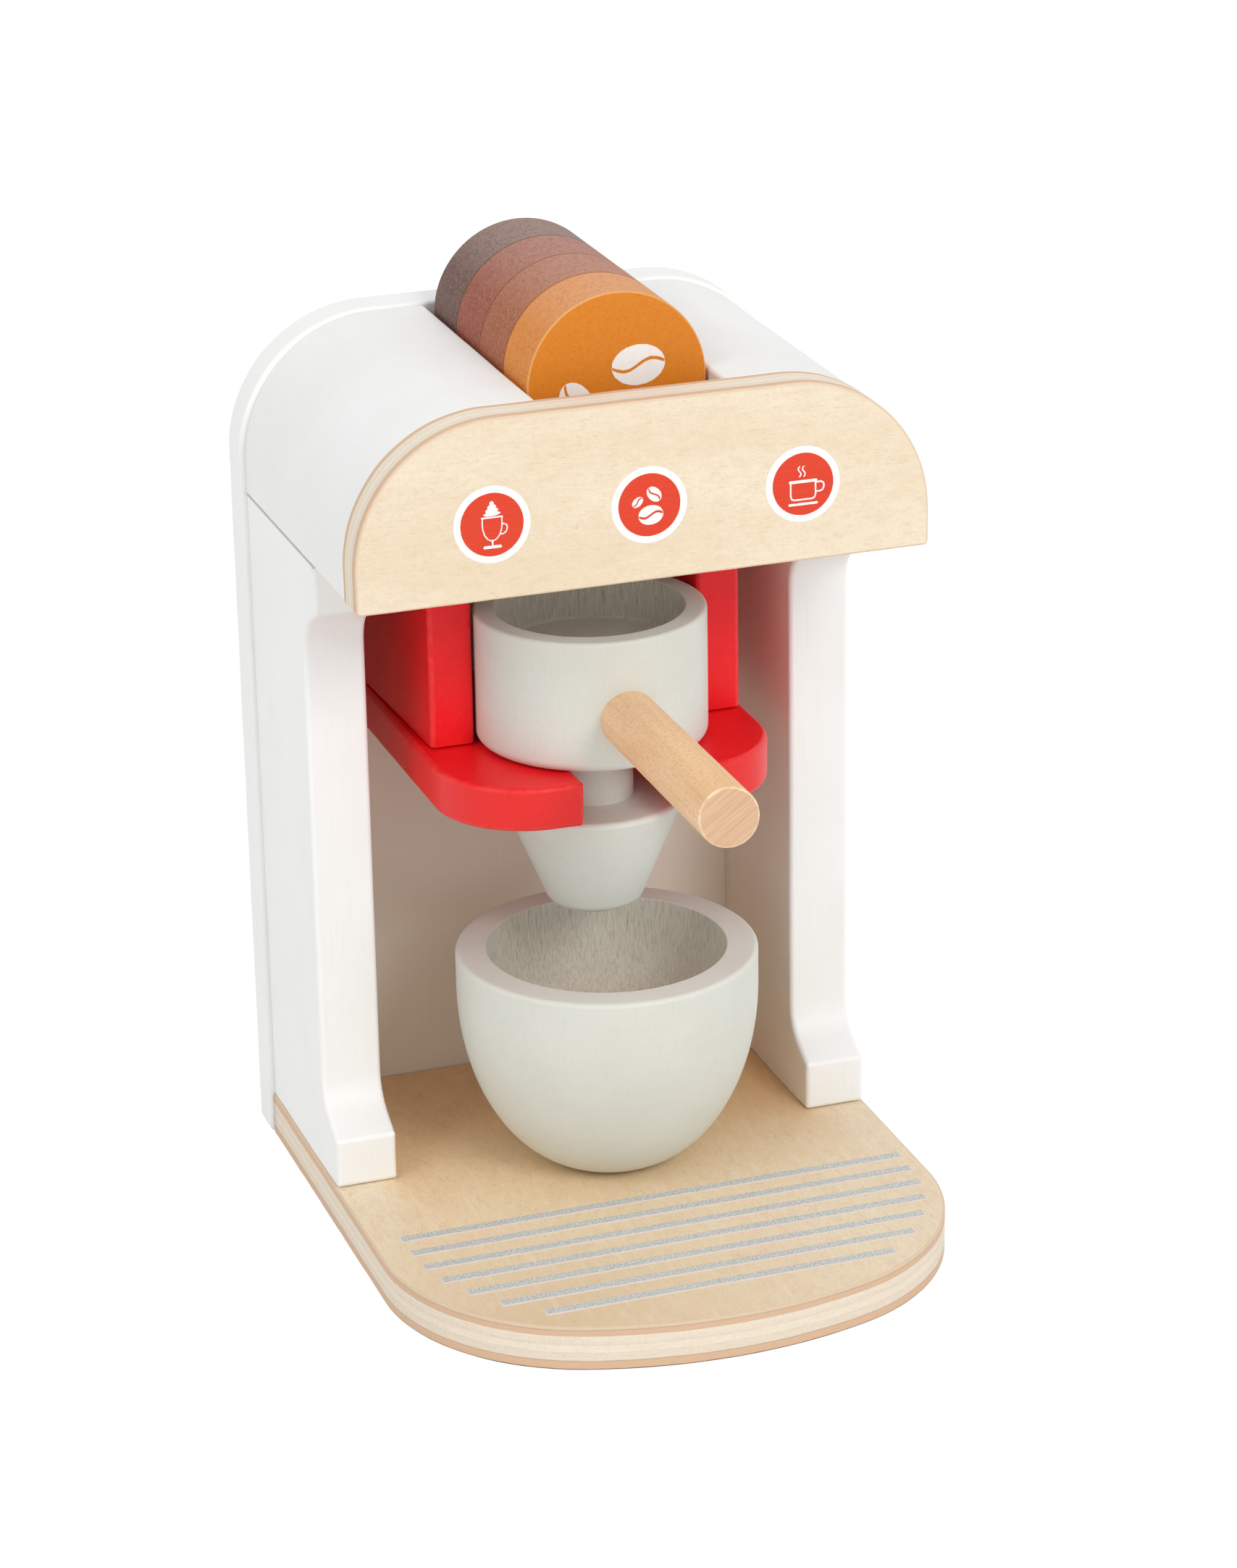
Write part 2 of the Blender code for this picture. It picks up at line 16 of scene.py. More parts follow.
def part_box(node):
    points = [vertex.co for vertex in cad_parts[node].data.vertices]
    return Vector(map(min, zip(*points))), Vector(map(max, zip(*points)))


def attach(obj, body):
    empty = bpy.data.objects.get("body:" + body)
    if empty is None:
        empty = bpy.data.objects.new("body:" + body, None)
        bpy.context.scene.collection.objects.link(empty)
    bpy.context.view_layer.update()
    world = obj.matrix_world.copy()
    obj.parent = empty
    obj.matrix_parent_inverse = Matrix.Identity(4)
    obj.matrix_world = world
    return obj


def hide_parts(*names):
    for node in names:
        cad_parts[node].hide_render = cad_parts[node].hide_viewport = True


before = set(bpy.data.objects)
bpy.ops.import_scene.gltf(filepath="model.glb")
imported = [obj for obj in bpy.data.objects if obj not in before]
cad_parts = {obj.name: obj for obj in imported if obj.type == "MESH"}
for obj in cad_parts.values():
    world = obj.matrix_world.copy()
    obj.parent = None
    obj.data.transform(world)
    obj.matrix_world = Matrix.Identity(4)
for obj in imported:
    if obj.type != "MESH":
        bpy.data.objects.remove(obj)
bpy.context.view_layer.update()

MM = 0.001

# Mesh fineness
ARC_STEP = 1.2 * MM
SIDE_STEP = 2.5 * MM
EDGE_STEPS = 6
TURNED_SEGMENTS = 144
LEAST_ARC_STEPS = 4
PRINT_STEP = 0.25 * MM

# Hand-sanded unevenness of boards and turned pieces
WOBBLE = 0.06 * MM
WOBBLE_WAVE = 7.0 * MM
FOOT_WOBBLE = 0.16 * MM
TURNED_WOBBLE = 0.03 * MM

# Roundings
SOFT_EDGE = 0.8 * MM
TIGHT_EDGE = 0.35 * MM
PLY_EDGE = 0.45 * MM
RED_EDGE = 1.2 * MM
WORN_LIMIT = 2.6 * MM

# Share of the room in a hollow bend that a rim may take, and the turn from which a bend counts
RIM_SHARE = 0.6
LEAST_BEND = -0.01
NO_LIMIT = 1.0

# Painted shadow lines in the joints between the walls and the head
JOINT_LINE_INSET = 0.02 * MM
JOINT_LINE_HEIGHT = 0.5 * MM

# Gap that the part leaves between glued pieces, and how far a piece reaches into it
PART_GAP = 0.3 * MM
SNUG = 0.22 * MM

# Base plate
BASE_CORNER_RADIUS = 44.0 * MM
BASE_FRONT_RADIUS = 94.0 * MM
BASE_FRONT_SIDE = 1.3 * MM
BASE_SIDE_TRIM = 0.3 * MM

# Back panel, head and front panel
BACK_SHOULDER = 30.0 * MM
HEAD_SHOULDER = 29.2 * MM
HEAD_CHANNEL_ROUND = 1.0 * MM
BOARD_CORNER = 1.0 * MM
BACK_FOOT_ROUND = 2.0 * MM

# Side walls
BAY_HALF_WIDTH = 47.0 * MM
WALL_EDGE = 1.1 * MM
WALL_POST_DEPTH = 40.9 * MM
WALL_FOOT_HEIGHT = 10.6 * MM
WALL_COVE_RADIUS = 8.5 * MM
WALL_COVE_RISE = 5.6 * MM
WALL_OUT = 0.3 * MM
FOOT_LENGTH = 19.0 * MM
FOOT_ROUND = 1.2 * MM
NOSE_ROUND = 1.3 * MM
TOE_LENGTH = 5.0 * MM

# Shelf and hangers
SHELF_CORNER_RADIUS = 20.0 * MM
SHELF_SLOT_RADIUS = 10.5 * MM
SHELF_TIP_ROUND = 1.4 * MM
HANGER_FLARE = 1.6 * MM

# Turned pieces
BOWL_WALL = 4.5 * MM
BOWL_HOLLOW_DEPTH = 9.9 * MM
BOWL_FOOT_ROUND = 2.2 * MM
BOWL_RIM_ROUND = 0.8 * MM
HOLLOW_LIP = 0.3 * MM
HOLLOW_CORNER = 0.8 * MM
HOLLOW_PAINT_REACH = 0.1 * MM
FUNNEL_TIP_RADIUS = 9.6 * MM
FUNNEL_TIP_ROUND = 3.0 * MM
FUNNEL_RIM_ROUND = 1.0 * MM
CUP_BAND = 8.4 * MM
CUP_FOOT_RADIUS = 12.0 * MM
CUP_BELLY_CENTRE_RADIUS = 5.9 * MM
CUP_WALL = 6.6 * MM
CUP_FLOOR = 8.0 * MM
CUP_HOLLOW_FLAT = 7.0 * MM
CUP_RIM_ROUND = 1.0 * MM
CUP_LEAST_RISE = 0.02
CAPSULE_ROUND = 0.4 * MM

# Handle
HANDLE_RADIUS = 6.05 * MM
HANDLE_RISE = math.radians(4.9)
HANDLE_SWING = math.radians(-4.2)
HANDLE_ROOT_HEIGHT = 11.4 * MM
HANDLE_SOCKET_DEPTH = 6.0 * MM
HANDLE_END_ROUND = 0.5 * MM
HANDLE_SEGMENTS = 96

# A board's or print's u, v and the height across them, as X, Y and Z
AXES = {
    "X": lambda u, v, w: (w, u, v),
    "Y": lambda u, v, w: (u, w, v),
    "Z": lambda u, v, w: (u, v, w),
}


# Outlines

def arc(centre, radii, start, end, step=ARC_STEP):
    """Points on an ellipse's arc, angles in degrees, both ends included."""
    sweep = math.radians(abs(end - start))
    count = max(LEAST_ARC_STEPS, math.ceil(sweep * max(radii) / step))
    points = []
    for index in range(count + 1):
        angle = math.radians(start + (end - start) * index / count)
        u = centre[0] + radii[0] * math.cos(angle)
        v = centre[1] + radii[1] * math.sin(angle)
        points.append((u, v, 0.0))
    return points


def rounded_corner(before, corner, after, radius):
    """Points (u, v, worn) of one corner of an outline, rounded to a radius."""
    here = Vector(corner)
    back = (Vector(before) - here).normalized()
    on = (Vector(after) - here).normalized()
    opening = back.angle(on)
    reach = radius / math.tan(opening / 2)
    centre = here + (back + on).normalized() * radius / math.sin(opening / 2)
    start = here + back * reach - centre
    end = here + on * reach - centre
    sweep = start.angle_signed(end)
    count = max(EDGE_STEPS, math.ceil(abs(sweep) * radius / ARC_STEP))
    small = radius <= WORN_LIMIT
    points = []
    for index in range(count + 1):
        share = index / count
        turn = Matrix.Rotation(-sweep * share, 2)
        spot = centre + turn @ start
        points.append((spot.x, spot.y, 1.0 if small and 0 < index < count else 0.0))
    return points


def fillet(corners, closed=True):
    """Outline from (u, v, radius) corners. A zero radius keeps the corner as it is."""
    points = []
    count = len(corners)
    for index, (u, v, radius) in enumerate(corners):
        ends = not closed and index in (0, count - 1)
        if radius and not ends:
            before = corners[index - 1][:2]
            after = corners[(index + 1) % count][:2]
            points += rounded_corner(before, (u, v), after, radius)
        else:
            points.append((u, v, 0.0))
    return points


def oblong(left, right, low, high, radii=(0, 0, 0, 0)):
    """A rectangle's outline. radii go from the low left corner by the right to the high left one."""
    corners = ((left, low), (right, low), (right, high), (left, high))
    return fillet([(*corner, radius) for corner, radius in zip(corners, radii)])


def walk(points, step, closed=True):
    """The same outline with its long sides divided into short steps."""
    finer = []
    count = len(points)
    last = count if closed else count - 1
    for index in range(last):
        u, v, worn = points[index]
        next_u, next_v, _ = points[(index + 1) % count]
        length = math.hypot(next_u - u, next_v - v)
        pieces = max(1, math.ceil(length / step))
        finer.append((u, v, worn))
        for number in range(1, pieces):
            share = number / pieces
            finer.append((u + (next_u - u) * share, v + (next_v - v) * share, 0.0))
    if not closed:
        finer.append(points[-1])
    return finer


def anticlockwise(points):
    """The outline in the direction that outward() expects."""
    area = 0.0
    for index, point in enumerate(points):
        before = points[index - 1]
        area += before[0] * point[1] - point[0] * before[1]
    return points if area > 0 else points[::-1]


def outward(points, closed=True):
    """The outline's outward direction at each of its points."""
    count = len(points)
    directions = []
    for index in range(count):
        after = points[(index + 1) % count] if closed or index < count - 1 else points[index]
        before = points[index - 1] if closed or index else points[index]
        directions.append(Vector((after[1] - before[1], before[0] - after[0])).normalized())
    return directions


def tightest(points):
    """How far each point of an anticlockwise outline may move in before the outline folds over."""
    limits = []
    count = len(points)
    for index in range(count):
        before, here, after = (Vector(points[(index + shift) % count][:2]) for shift in (-1, 0, 1))
        bend = (here - before).angle_signed(after - here, 0.0)
        reach = ((here - before).length + (after - here).length) / 2
        limits.append(RIM_SHARE * reach / -bend if bend < LEAST_BEND else NO_LIMIT)
    return limits


def evened(values, rounds=3):
    """Each value averaged with its neighbours round a closed outline."""
    for _ in range(rounds):
        count = len(values)
        values = [(values[i - 1] + 2 * values[i] + values[(i + 1) % count]) / 4 for i in range(count)]
    return values


# Meshes

def join_rings(shape, rings):
    """Skin neighbouring rings of vertices with quads."""
    count = len(rings[0])
    faces = []
    for low, high in zip(rings, rings[1:]):
        for index in range(count):
            after = (index + 1) % count
            faces.append(shape.faces.new((low[index], low[after], high[after], high[index])))
    return faces


def in_scene(name, data):
    piece = bpy.data.objects.new(name, data)
    bpy.context.scene.collection.objects.link(piece)
    return piece


def make_object(name, shape, materials, slot_of=None):
    """Turn a bmesh into a smooth-shaded object. slot_of picks a face's material."""
    bmesh.ops.recalc_face_normals(shape, faces=shape.faces)
    shape.normal_update()
    if slot_of:
        for face in shape.faces:
            face.material_index = slot_of(face)
    mesh = bpy.data.meshes.new(name)
    shape.to_mesh(mesh)
    shape.free()
    mesh.shade_smooth()
    for material in materials:
        mesh.materials.append(material)
    piece = in_scene(name, mesh)
    piece.modifiers.new("flat_faces_stay_flat", "WEIGHTED_NORMAL")
    return piece


def uneven(spot, wave, amount):
    """A small smooth offset that depends only on the place."""
    return amount * noise.noise(spot / wave)


def board(name, outline, low, high, axis, edge, materials, slot_of=None, wobble=WOBBLE):
    """A board with its outline across one axis and rounded rims on both faces.

    edge is the rims' radius and wobble the sides' unevenness. Each may be a function of (u, v).
    """
    outline = anticlockwise(walk(outline, SIDE_STEP))
    normals = outward(outline)
    radii = [edge(u, v) if callable(edge) else edge for u, v, _ in outline]
    limits = tightest(outline)
    radii = evened([min(pair) for pair in zip(radii, limits)])
    radii = [min(pair) for pair in zip(radii, limits)]
    quarter = [math.radians(90 * index / EDGE_STEPS) for index in range(EDGE_STEPS + 1)]
    levels = [(1 - math.sin(angle), 1 - math.cos(angle), 0.0) for angle in quarter]
    middles = max(1, round((high - low) / SIDE_STEP))
    levels += [(0.0, 1.0, index / middles) for index in range(1, middles)]
    levels += [(1 - math.sin(angle), -1 + math.cos(angle), 1.0) for angle in reversed(quarter)]
    shape = bmesh.new()
    worn_layer = shape.verts.layers.float.new("worn")
    rings = []
    for inset, rise, share in levels:
        on_rim = 0 < inset < 1
        ring = []
        for (u, v, worn), normal, radius in zip(outline, normals, radii):
            if share in (0.0, 1.0):
                height = low + (high - low) * share + rise * radius
            else:
                height = low + radius + (high - low - 2 * radius) * share
            spot = Vector(AXES[axis](u, v, height))
            amount = wobble(u, v) if callable(wobble) else wobble
            push = uneven(spot, WOBBLE_WAVE, amount) - radius * inset
            vertex = shape.verts.new(AXES[axis](u + normal.x * push, v + normal.y * push, height))
            vertex[worn_layer] = 1.0 if on_rim else worn * (1.0 if inset == 0 else 0.0)
            ring.append(vertex)
        rings.append(ring)
    join_rings(shape, rings)
    shape.faces.new(rings[0])
    shape.faces.new(rings[-1])
    return make_object(name, shape, materials, slot_of)


def turned(name, profile, materials, slot_of=None, segments=TURNED_SEGMENTS):
    """Spin a profile of (radius, height, worn) about Z. Its ends lie on the axis."""
    profile = walk(profile, ARC_STEP, closed=False)
    shape = bmesh.new()
    worn_layer = shape.verts.layers.float.new("worn")
    bottom = shape.verts.new((0, 0, profile[0][1]))
    top = shape.verts.new((0, 0, profile[-1][1]))
    rings = []
    for radius, height, worn in profile[1:-1]:
        ring = []
        for step in range(segments):
            angle = math.tau * step / segments
            ray = Vector((math.cos(angle), math.sin(angle), 0))
            spot = ray * radius + Vector((0, 0, height))
            spot += ray * min(1.0, radius / SIDE_STEP) * uneven(spot, WOBBLE_WAVE, TURNED_WOBBLE)
            vertex = shape.verts.new(spot)
            vertex[worn_layer] = worn
            ring.append(vertex)
        rings.append(ring)
    join_rings(shape, rings)
    for step in range(segments):
        after = (step + 1) % segments
        shape.faces.new((bottom, rings[0][after], rings[0][step]))
        shape.faces.new((top, rings[-1][step], rings[-1][after]))
    return make_object(name, shape, materials, slot_of)


def dress(piece, body, slot, *nodes):
    """Ride a finished piece on its body, in place of the nodes that it stands for."""
    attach(piece, body)
    if nodes:
        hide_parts(*nodes)


# Materials

# Sizes and depths of textures are in millimetres. A size is one number for round
# blobs, a length along the grain and a width across it, or X, Y and Z. shift counts
# in blobs and turn is in degrees about Z. A texture with a depth stands in relief.
Blobs = namedtuple(
    "Blobs", "size detail roughness distortion shift turn depth", defaults=(2.0, 0.5, 0.0, 0.0, 0.0, 0.0)
)
Specks = namedtuple("Specks", "spacing radius share depth", defaults=(0.0,))
ROUGHNESS_RANGE = (0.3, 0.7)
SPECK_CORE_SHARE = 0.5
# Sockets of the two colours and of the result in a mix of colours
MIX_COLOURS = (6, 7)
MIX_RESULT = 2


def linear(red, green, blue):
    """A linear colour from 0-255 screen values."""
    shown = Color((red / 255, green / 255, blue / 255))
    return (*shown.from_srgb_to_scene_linear(), 1.0)


def blob_size(size, grain):
    """A texture's size along X, Y and Z, in metres. grain is 0 for X to 2 for Z."""
    if not isinstance(size, tuple):
        size = (size, size)
    if len(size) == 2:
        long, wide = size
        size = [wide, wide, wide]
        size[grain] = long
    return [length * MM for length in size]


def feed(tree, socket, value):
    """Link a socket to another one, or set its value."""
    if isinstance(value, bpy.types.NodeSocket):
        tree.links.new(value, socket)
    else:
        socket.default_value = value


def add_node(tree, kind, inputs, **settings):
    made = tree.nodes.new(kind)
    for key, value in settings.items():
        setattr(made, key, value)
    for key, value in inputs.items():
        feed(tree, made.inputs[key], value)
    return made


class Recipe:
    """One material's node tree, built by short calls.

    A value is a number, a socket or a texture's name, and a colour is a socket or
    0-255 screen values. Each texture is made when it is first used.
    """

    def __init__(self, name, textures, roughness, specular, grain=2):
        self.material = bpy.data.materials.new(name)
        self.material.use_nodes = True
        self.tree = self.material.node_tree
        self.shader = self.tree.nodes["Principled BSDF"]
        self.shader.inputs["Roughness"].default_value = roughness
        self.shader.inputs["Specular IOR Level"].default_value = specular
        self.coordinates = self.node("ShaderNodeTexCoord", {}).outputs
        self.worn = self.node("ShaderNodeAttribute", {}, attribute_name="worn").outputs["Fac"]
        self.textures = textures
        self.grain = grain
        self.made = {}
        self.colour = None

    def node(self, kind, inputs, **settings):
        for key, value in inputs.items():
            if isinstance(value, str):
                inputs[key] = self.texture(value)
        return add_node(self.tree, kind, inputs, **settings)

    def maths(self, operation, first, second=0.0):
        return self.node("ShaderNodeMath", {0: first, 1: second}, operation=operation).outputs[0]

    def times(self, first, second):
        return self.maths("MULTIPLY", first, second)

    def levels(self, value, low, high, to_low=0.0, to_high=1.0):
        """Stretch a range of values to another one, clamped."""
        inputs = {"Value": value, "From Min": low, "From Max": high, "To Min": to_low, "To Max": to_high}
        return self.node("ShaderNodeMapRange", inputs).outputs[0]

    def axis(self, letter, output="Object"):
        """The piece's own place along one axis or, with Normal, which way its surface faces."""
        return self.node("ShaderNodeSeparateXYZ", {"Vector": self.coordinates[output]}).outputs[letter]

    def in_bay(self, fade):
        """1 between the walls, down to 0 at the given way into them."""
        across = self.maths("ABSOLUTE", self.axis("X"))
        return self.levels(across, BAY_HALF_WIDTH, BAY_HALF_WIDTH + fade, 1, 0)

    def counted(self, size, shift=0.0, turn=0.0):
        """The piece's own coordinates, counted in blobs of a size."""
        place = self.coordinates["Object"]
        if turn:
            inputs = {"Vector": place, "Angle": math.radians(turn)}
            place = self.node("ShaderNodeVectorRotate", inputs, rotation_type="Z_AXIS").outputs[0]
        inputs = {
            "Vector": place,
            "Location": (shift, shift, shift),
            "Scale": [1 / length for length in blob_size(size, self.grain)],
        }
        return self.node("ShaderNodeMapping", inputs).outputs[0]

    def blobs(self, kind):
        """Soft noise."""
        inputs = {
            "Vector": self.counted(kind.size, kind.shift, kind.turn),
            "Scale": 1.0,
            "Detail": kind.detail,
            "Roughness": kind.roughness,
            "Distortion": kind.distortion,
        }
        return self.node("ShaderNodeTexNoise", inputs).outputs["Fac"]

    def specks(self, kind):
        """A mask of round specks, in a share of the cells of a coarse random grid."""
        inputs = {"Vector": self.counted(kind.spacing), "Scale": 1.0}
        cells = self.node("ShaderNodeTexVoronoi", inputs).outputs
        reach = kind.radius / kind.spacing
        near = self.levels(cells["Distance"], reach, SPECK_CORE_SHARE * reach)
        pick = self.node("ShaderNodeSeparateColor", {"Color": cells["Color"]}).outputs[0]
        return self.times(near, self.maths("LESS_THAN", pick, kind.share))

    def texture(self, name):
        if name not in self.made:
            kind = self.textures[name]
            self.made[name] = self.specks(kind) if isinstance(kind, Specks) else self.blobs(kind)
        return self.made[name]

    def ramp(self, value, *stops):
        """Colours along a value, from (position, colour) stops."""
        made = self.node("ShaderNodeValToRGB", {"Fac": value})
        elements = made.color_ramp.elements
        stops = [(position, linear(*colour)) for position, colour in stops]
        elements[0].position, elements[0].color = stops[0]
        elements[1].position, elements[1].color = stops[-1]
        for position, colour in stops[1:-1]:
            elements.new(position).color = colour
        return made.outputs["Color"]

    def blend(self, share, first, second):
        inputs = {"Factor": share}
        for socket, colour in zip(MIX_COLOURS, (first, second)):
            inputs[socket] = linear(*colour) if isinstance(colour, tuple) else colour
        return self.node("ShaderNodeMix", inputs, data_type="RGBA").outputs[MIX_RESULT]

    def tint(self, mask, colour, share=1.0):
        """Lay a share of a colour over what is there, where the mask says."""
        mask = mask if share == 1.0 else self.times(mask, share)
        self.colour = self.blend(mask, self.colour, colour)

    def mark(self, name, low, high, share, colour):
        """Tint where the named texture rises from low to high, up to a share."""
        self.tint(self.levels(name, low, high, 0, share), colour)

    def finish(self, name=None, smooth=0.0, rough=1.0, fade=1.0):
        """The finished material, with its textures' relief. A named texture may vary its roughness.

        fade is how much of the first relief stays.
        """
        normal = None
        for texture, kind in self.textures.items():
            if not kind.depth:
                continue
            height = texture if normal or fade == 1.0 else self.times(texture, fade)
            inputs = {"Height": height, "Distance": kind.depth * MM, "Strength": 1.0}
            if normal:
                inputs["Normal"] = normal
            normal = self.node("ShaderNodeBump", inputs).outputs[0]
        feed(self.tree, self.shader.inputs["Normal"], normal)
        feed(self.tree, self.shader.inputs["Base Color"], self.colour)
        if name:
            roughness = self.levels(name, *ROUGHNESS_RANGE, smooth, rough)
            feed(self.tree, self.shader.inputs["Roughness"], roughness)
        return self.material


WHITE_TEXTURES = {
    "clouds": Blobs(26, detail=3),
    "thin": Blobs(3, shift=3.1),
    "nibs": Specks(15, radius=0.22, share=0.1),
    "brush": Blobs(1.5, detail=3, depth=0.012),
    "fibres": Blobs((16, 0.4), detail=4, roughness=0.6, depth=0.02),
    "waves": Blobs(7, depth=0.025),
}
WHITE_PAINTED_BOUNCE_FADE = 2.0 * MM


def white_paint(name, grain, inside=False, shade=248):
    """Satin white on fine-grained wood: faint fibres, brush marks and a few nibs.

    With inside, the faces between the walls are tinted cream, a painted warm bounce light.
    """
    look = Recipe(name, WHITE_TEXTURES, roughness=0.45, specular=0.4, grain=grain)
    deep, light = (shade - 4, shade - 4, shade - 6), (shade, shade, shade - 1)
    look.colour = look.ramp("clouds", (0.35, deep), (0.65, light))
    if inside:
        # painted warm bounce light: faces between the walls are tinted cream
        look.tint(look.in_bay(WHITE_PAINTED_BOUNCE_FADE), (247, 239, 227))
    look.mark("fibres", 0.55, 0.8, 0.25, (222, 221, 214))
    look.tint("nibs", (150, 145, 135), 0.35)
    look.tint(look.times(look.worn, "thin"), (252, 252, 250), 0.5)
    return look.finish("clouds", 0.44, 0.5)


BIRCH_TEXTURES = {
    "figure": Blobs((60, 13), detail=3, distortion=0.4),
    "mottle": Blobs((5, 2.4), detail=5, roughness=0.7, shift=7.7),
    "fibres": Blobs((5, 0.42), detail=5, roughness=0.7, depth=0.025),
    "grit": Blobs(0.6, detail=3, roughness=0.7, shift=1.3, depth=0.02),
    "dashes": Blobs((2.2, 0.4), detail=1, shift=4.3),
    "pale": Blobs((8, 1.8), detail=3, shift=11.9),
    "spots": Specks(17, radius=0.28, share=0.22),
}
# Each mark's texture, the range that it rises over, and its share
BIRCH_MARKS = (
    ("mottle", 0.48, 0.72, 0.5),
    ("grit", 0.45, 0.75, 0.55),
    ("fibres", 0.5, 0.76, 0.55),
    ("dashes", 0.62, 0.76, 0.7),
)
# The base's painted light and shade under the machine and before it, each for its left and its right
BASE_UNDER_PAINTED_LIGHT = ((248, 214, 166), (237, 195, 141))
BASE_BEFORE_PAINTED_LIGHT = ((221, 197, 162), (236, 220, 192))
BASE_TINT_ACROSS = (-32.0 * MM, 32.0 * MM)
BASE_UNDER_REACH = (-34.0 * MM, 34.0 * MM)
BASE_BEFORE_REACH = (12.0 * MM, -38.0 * MM)
BASE_BEFORE_SHARE = 0.92
BASE_BEFORE_LEAN = -0.35
BASE_BAY_FADE = 6.0 * MM


def paint_light_on_base(look):
    """Painted warm light and shade under the machine, and before it painted shade that darkens to the
    left.
    """
    across = look.levels(look.axis("X"), *BASE_TINT_ACROSS)
    under = look.levels(look.axis("Y"), *BASE_UNDER_REACH)
    # painted warm light and shade under the machine, between the walls
    look.tint(look.times(under, look.in_bay(BASE_BAY_FADE)), look.blend(across, *BASE_UNDER_PAINTED_LIGHT))
    # painted shade before the machine, darker to the left and lighter to the right
    leaning = look.maths("ADD", look.axis("Y"), look.times(look.axis("X"), BASE_BEFORE_LEAN))
    before = look.levels(leaning, *BASE_BEFORE_REACH, 0, BASE_BEFORE_SHARE)
    look.tint(before, look.blend(across, *BASE_BEFORE_PAINTED_LIGHT))


def birch_face(name, grain, light, deep, fleck, strength, is_base=False):
    """Birch veneer: soft mottle, fine fibres, short flecks and a few dark spots."""
    look = Recipe(name, BIRCH_TEXTURES, roughness=0.52, specular=0.35, grain=grain)
    look.colour = look.ramp("figure", (0.3, deep), (0.68, light))
    if is_base:
        paint_light_on_base(look)
    for texture, low, high, share in BIRCH_MARKS:
        look.mark(texture, low, high, share * strength, fleck)
    paler = look.blend(0.35, look.colour, (255, 246, 228))
    look.mark("pale", 0.55, 0.75, 0.6 * strength, paler)
    look.tint("spots", (120, 105, 88), 0.6)
    return look.finish("fibres", 0.46, 0.6)


PLY_TEXTURES = {
    "drift": Blobs(7, detail=3),
    "streaks": Blobs((0.16, 5), detail=4, roughness=0.7, depth=0.03),
    "fuzz": Blobs(0.5, detail=3, roughness=0.7, depth=0.03),
}
PLY_WANDER = 0.16 * MM


def ply_edge(name, axis, low, high, first):
    """Sawn plywood edge: brown outer veneers, three pale plies and dark glue lines.

    first is the colour of its first arris.
    """
    look = Recipe(name, PLY_TEXTURES, roughness=0.62, specular=0.3, grain="XYZ".index(axis))
    wander = look.levels("drift", 0, 1, -PLY_WANDER, PLY_WANDER)
    depth = look.levels(look.maths("ADD", look.axis(axis), wander), low, high)
    brown, pale, cream = (223, 188, 156), (236, 224, 206), (243, 232, 213)
    seam, line, arris = (228, 214, 196), (192, 158, 136), (224, 200, 172)
    look.colour = look.ramp(
        depth,
        (0.0, first), (0.03, first), (0.045, brown), (0.2, brown), (0.215, line), (0.235, pale),
        (0.395, pale), (0.405, seam), (0.42, cream), (0.58, cream), (0.595, seam), (0.61, pale),
        (0.79, cream), (0.8, brown), (0.915, brown), (0.93, line), (0.945, arris), (1.0, arris),
    )
    look.mark("streaks", 0.45, 0.75, 0.4, (206, 182, 154))
    look.mark("fuzz", 0.5, 0.8, 0.35, (200, 164, 132))
    return look.finish()


RED_TEXTURES = {
    "clouds": Blobs(14, detail=3),
    "haze": Blobs(0.8, detail=4, roughness=0.7),
    "thin": Blobs(2, shift=5),
    "brush": Blobs(1.3, detail=3, depth=0.025),
    "nibs": Specks(6, radius=0.16, share=0.16, depth=0.05),
    "waves": Blobs(8, depth=0.05),
}
RED_FRONT_SHEEN_REACH = (22.0 * MM, 4.0 * MM)


def red_paint():
    """Satin red: slight colour drift, dust nibs, a thinner coat on edges, and a painted sheen on the
    upright faces at the shelf's front.
    """
    look = Recipe("red_satin_paint", RED_TEXTURES, roughness=0.38, specular=0.35)
    look.colour = look.ramp("clouds", (0.3, (234, 14, 25)), (0.7, (244, 20, 31)))
    # Painted sheen: upright faces towards the front are paler, as the front light's gloss makes them.
    upright = look.levels(look.axis("Z", "Normal"), 0.3, 0.7, 1, 0)
    front_sheen = look.levels(look.axis("Y"), *RED_FRONT_SHEEN_REACH, 0, 0.8)
    look.tint(look.times(upright, front_sheen), (229, 42, 38))
    look.mark("haze", 0.48, 0.76, 0.5, (247, 50, 46))
    thin = look.levels("thin", 0.3, 0.7)
    look.tint(look.times(look.worn, thin), (243, 92, 82), 0.25)
    look.tint("nibs", (247, 150, 140), 0.6)
    return look.finish("haze", 0.34, 0.46)


GREY_TEXTURES = {
    "clouds": Blobs(12, detail=3),
    "lathe": Blobs((0.8, 30), detail=3, roughness=0.6, shift=5.1),
    "nibs": Specks(11, radius=0.2, share=0.14),
    "brush": Blobs(1.4, detail=3, depth=0.02),
    "grain": Blobs((5, 0.6), detail=4, roughness=0.6, depth=0.026),
    "waves": Blobs((2.5, 20), depth=0.04),
}


def grey_green_paint():
    """Matt grey-green on turned wood, with a slightly brighter arris."""
    look = Recipe("grey_green_matt_paint", GREY_TEXTURES, roughness=0.5, specular=0.35)
    look.colour = look.ramp("clouds", (0.3, (218, 220, 211)), (0.7, (222, 224, 216)))
    look.mark("lathe", 0.5, 0.8, 0.12, (200, 198, 186))
    look.mark("grain", 0.5, 0.75, 0.26, (206, 206, 196))
    look.tint(look.worn, (234, 233, 220), 0.15)
    look.tint("nibs", (150, 146, 135), 0.5)
    return look.finish("clouds", 0.44, 0.56)


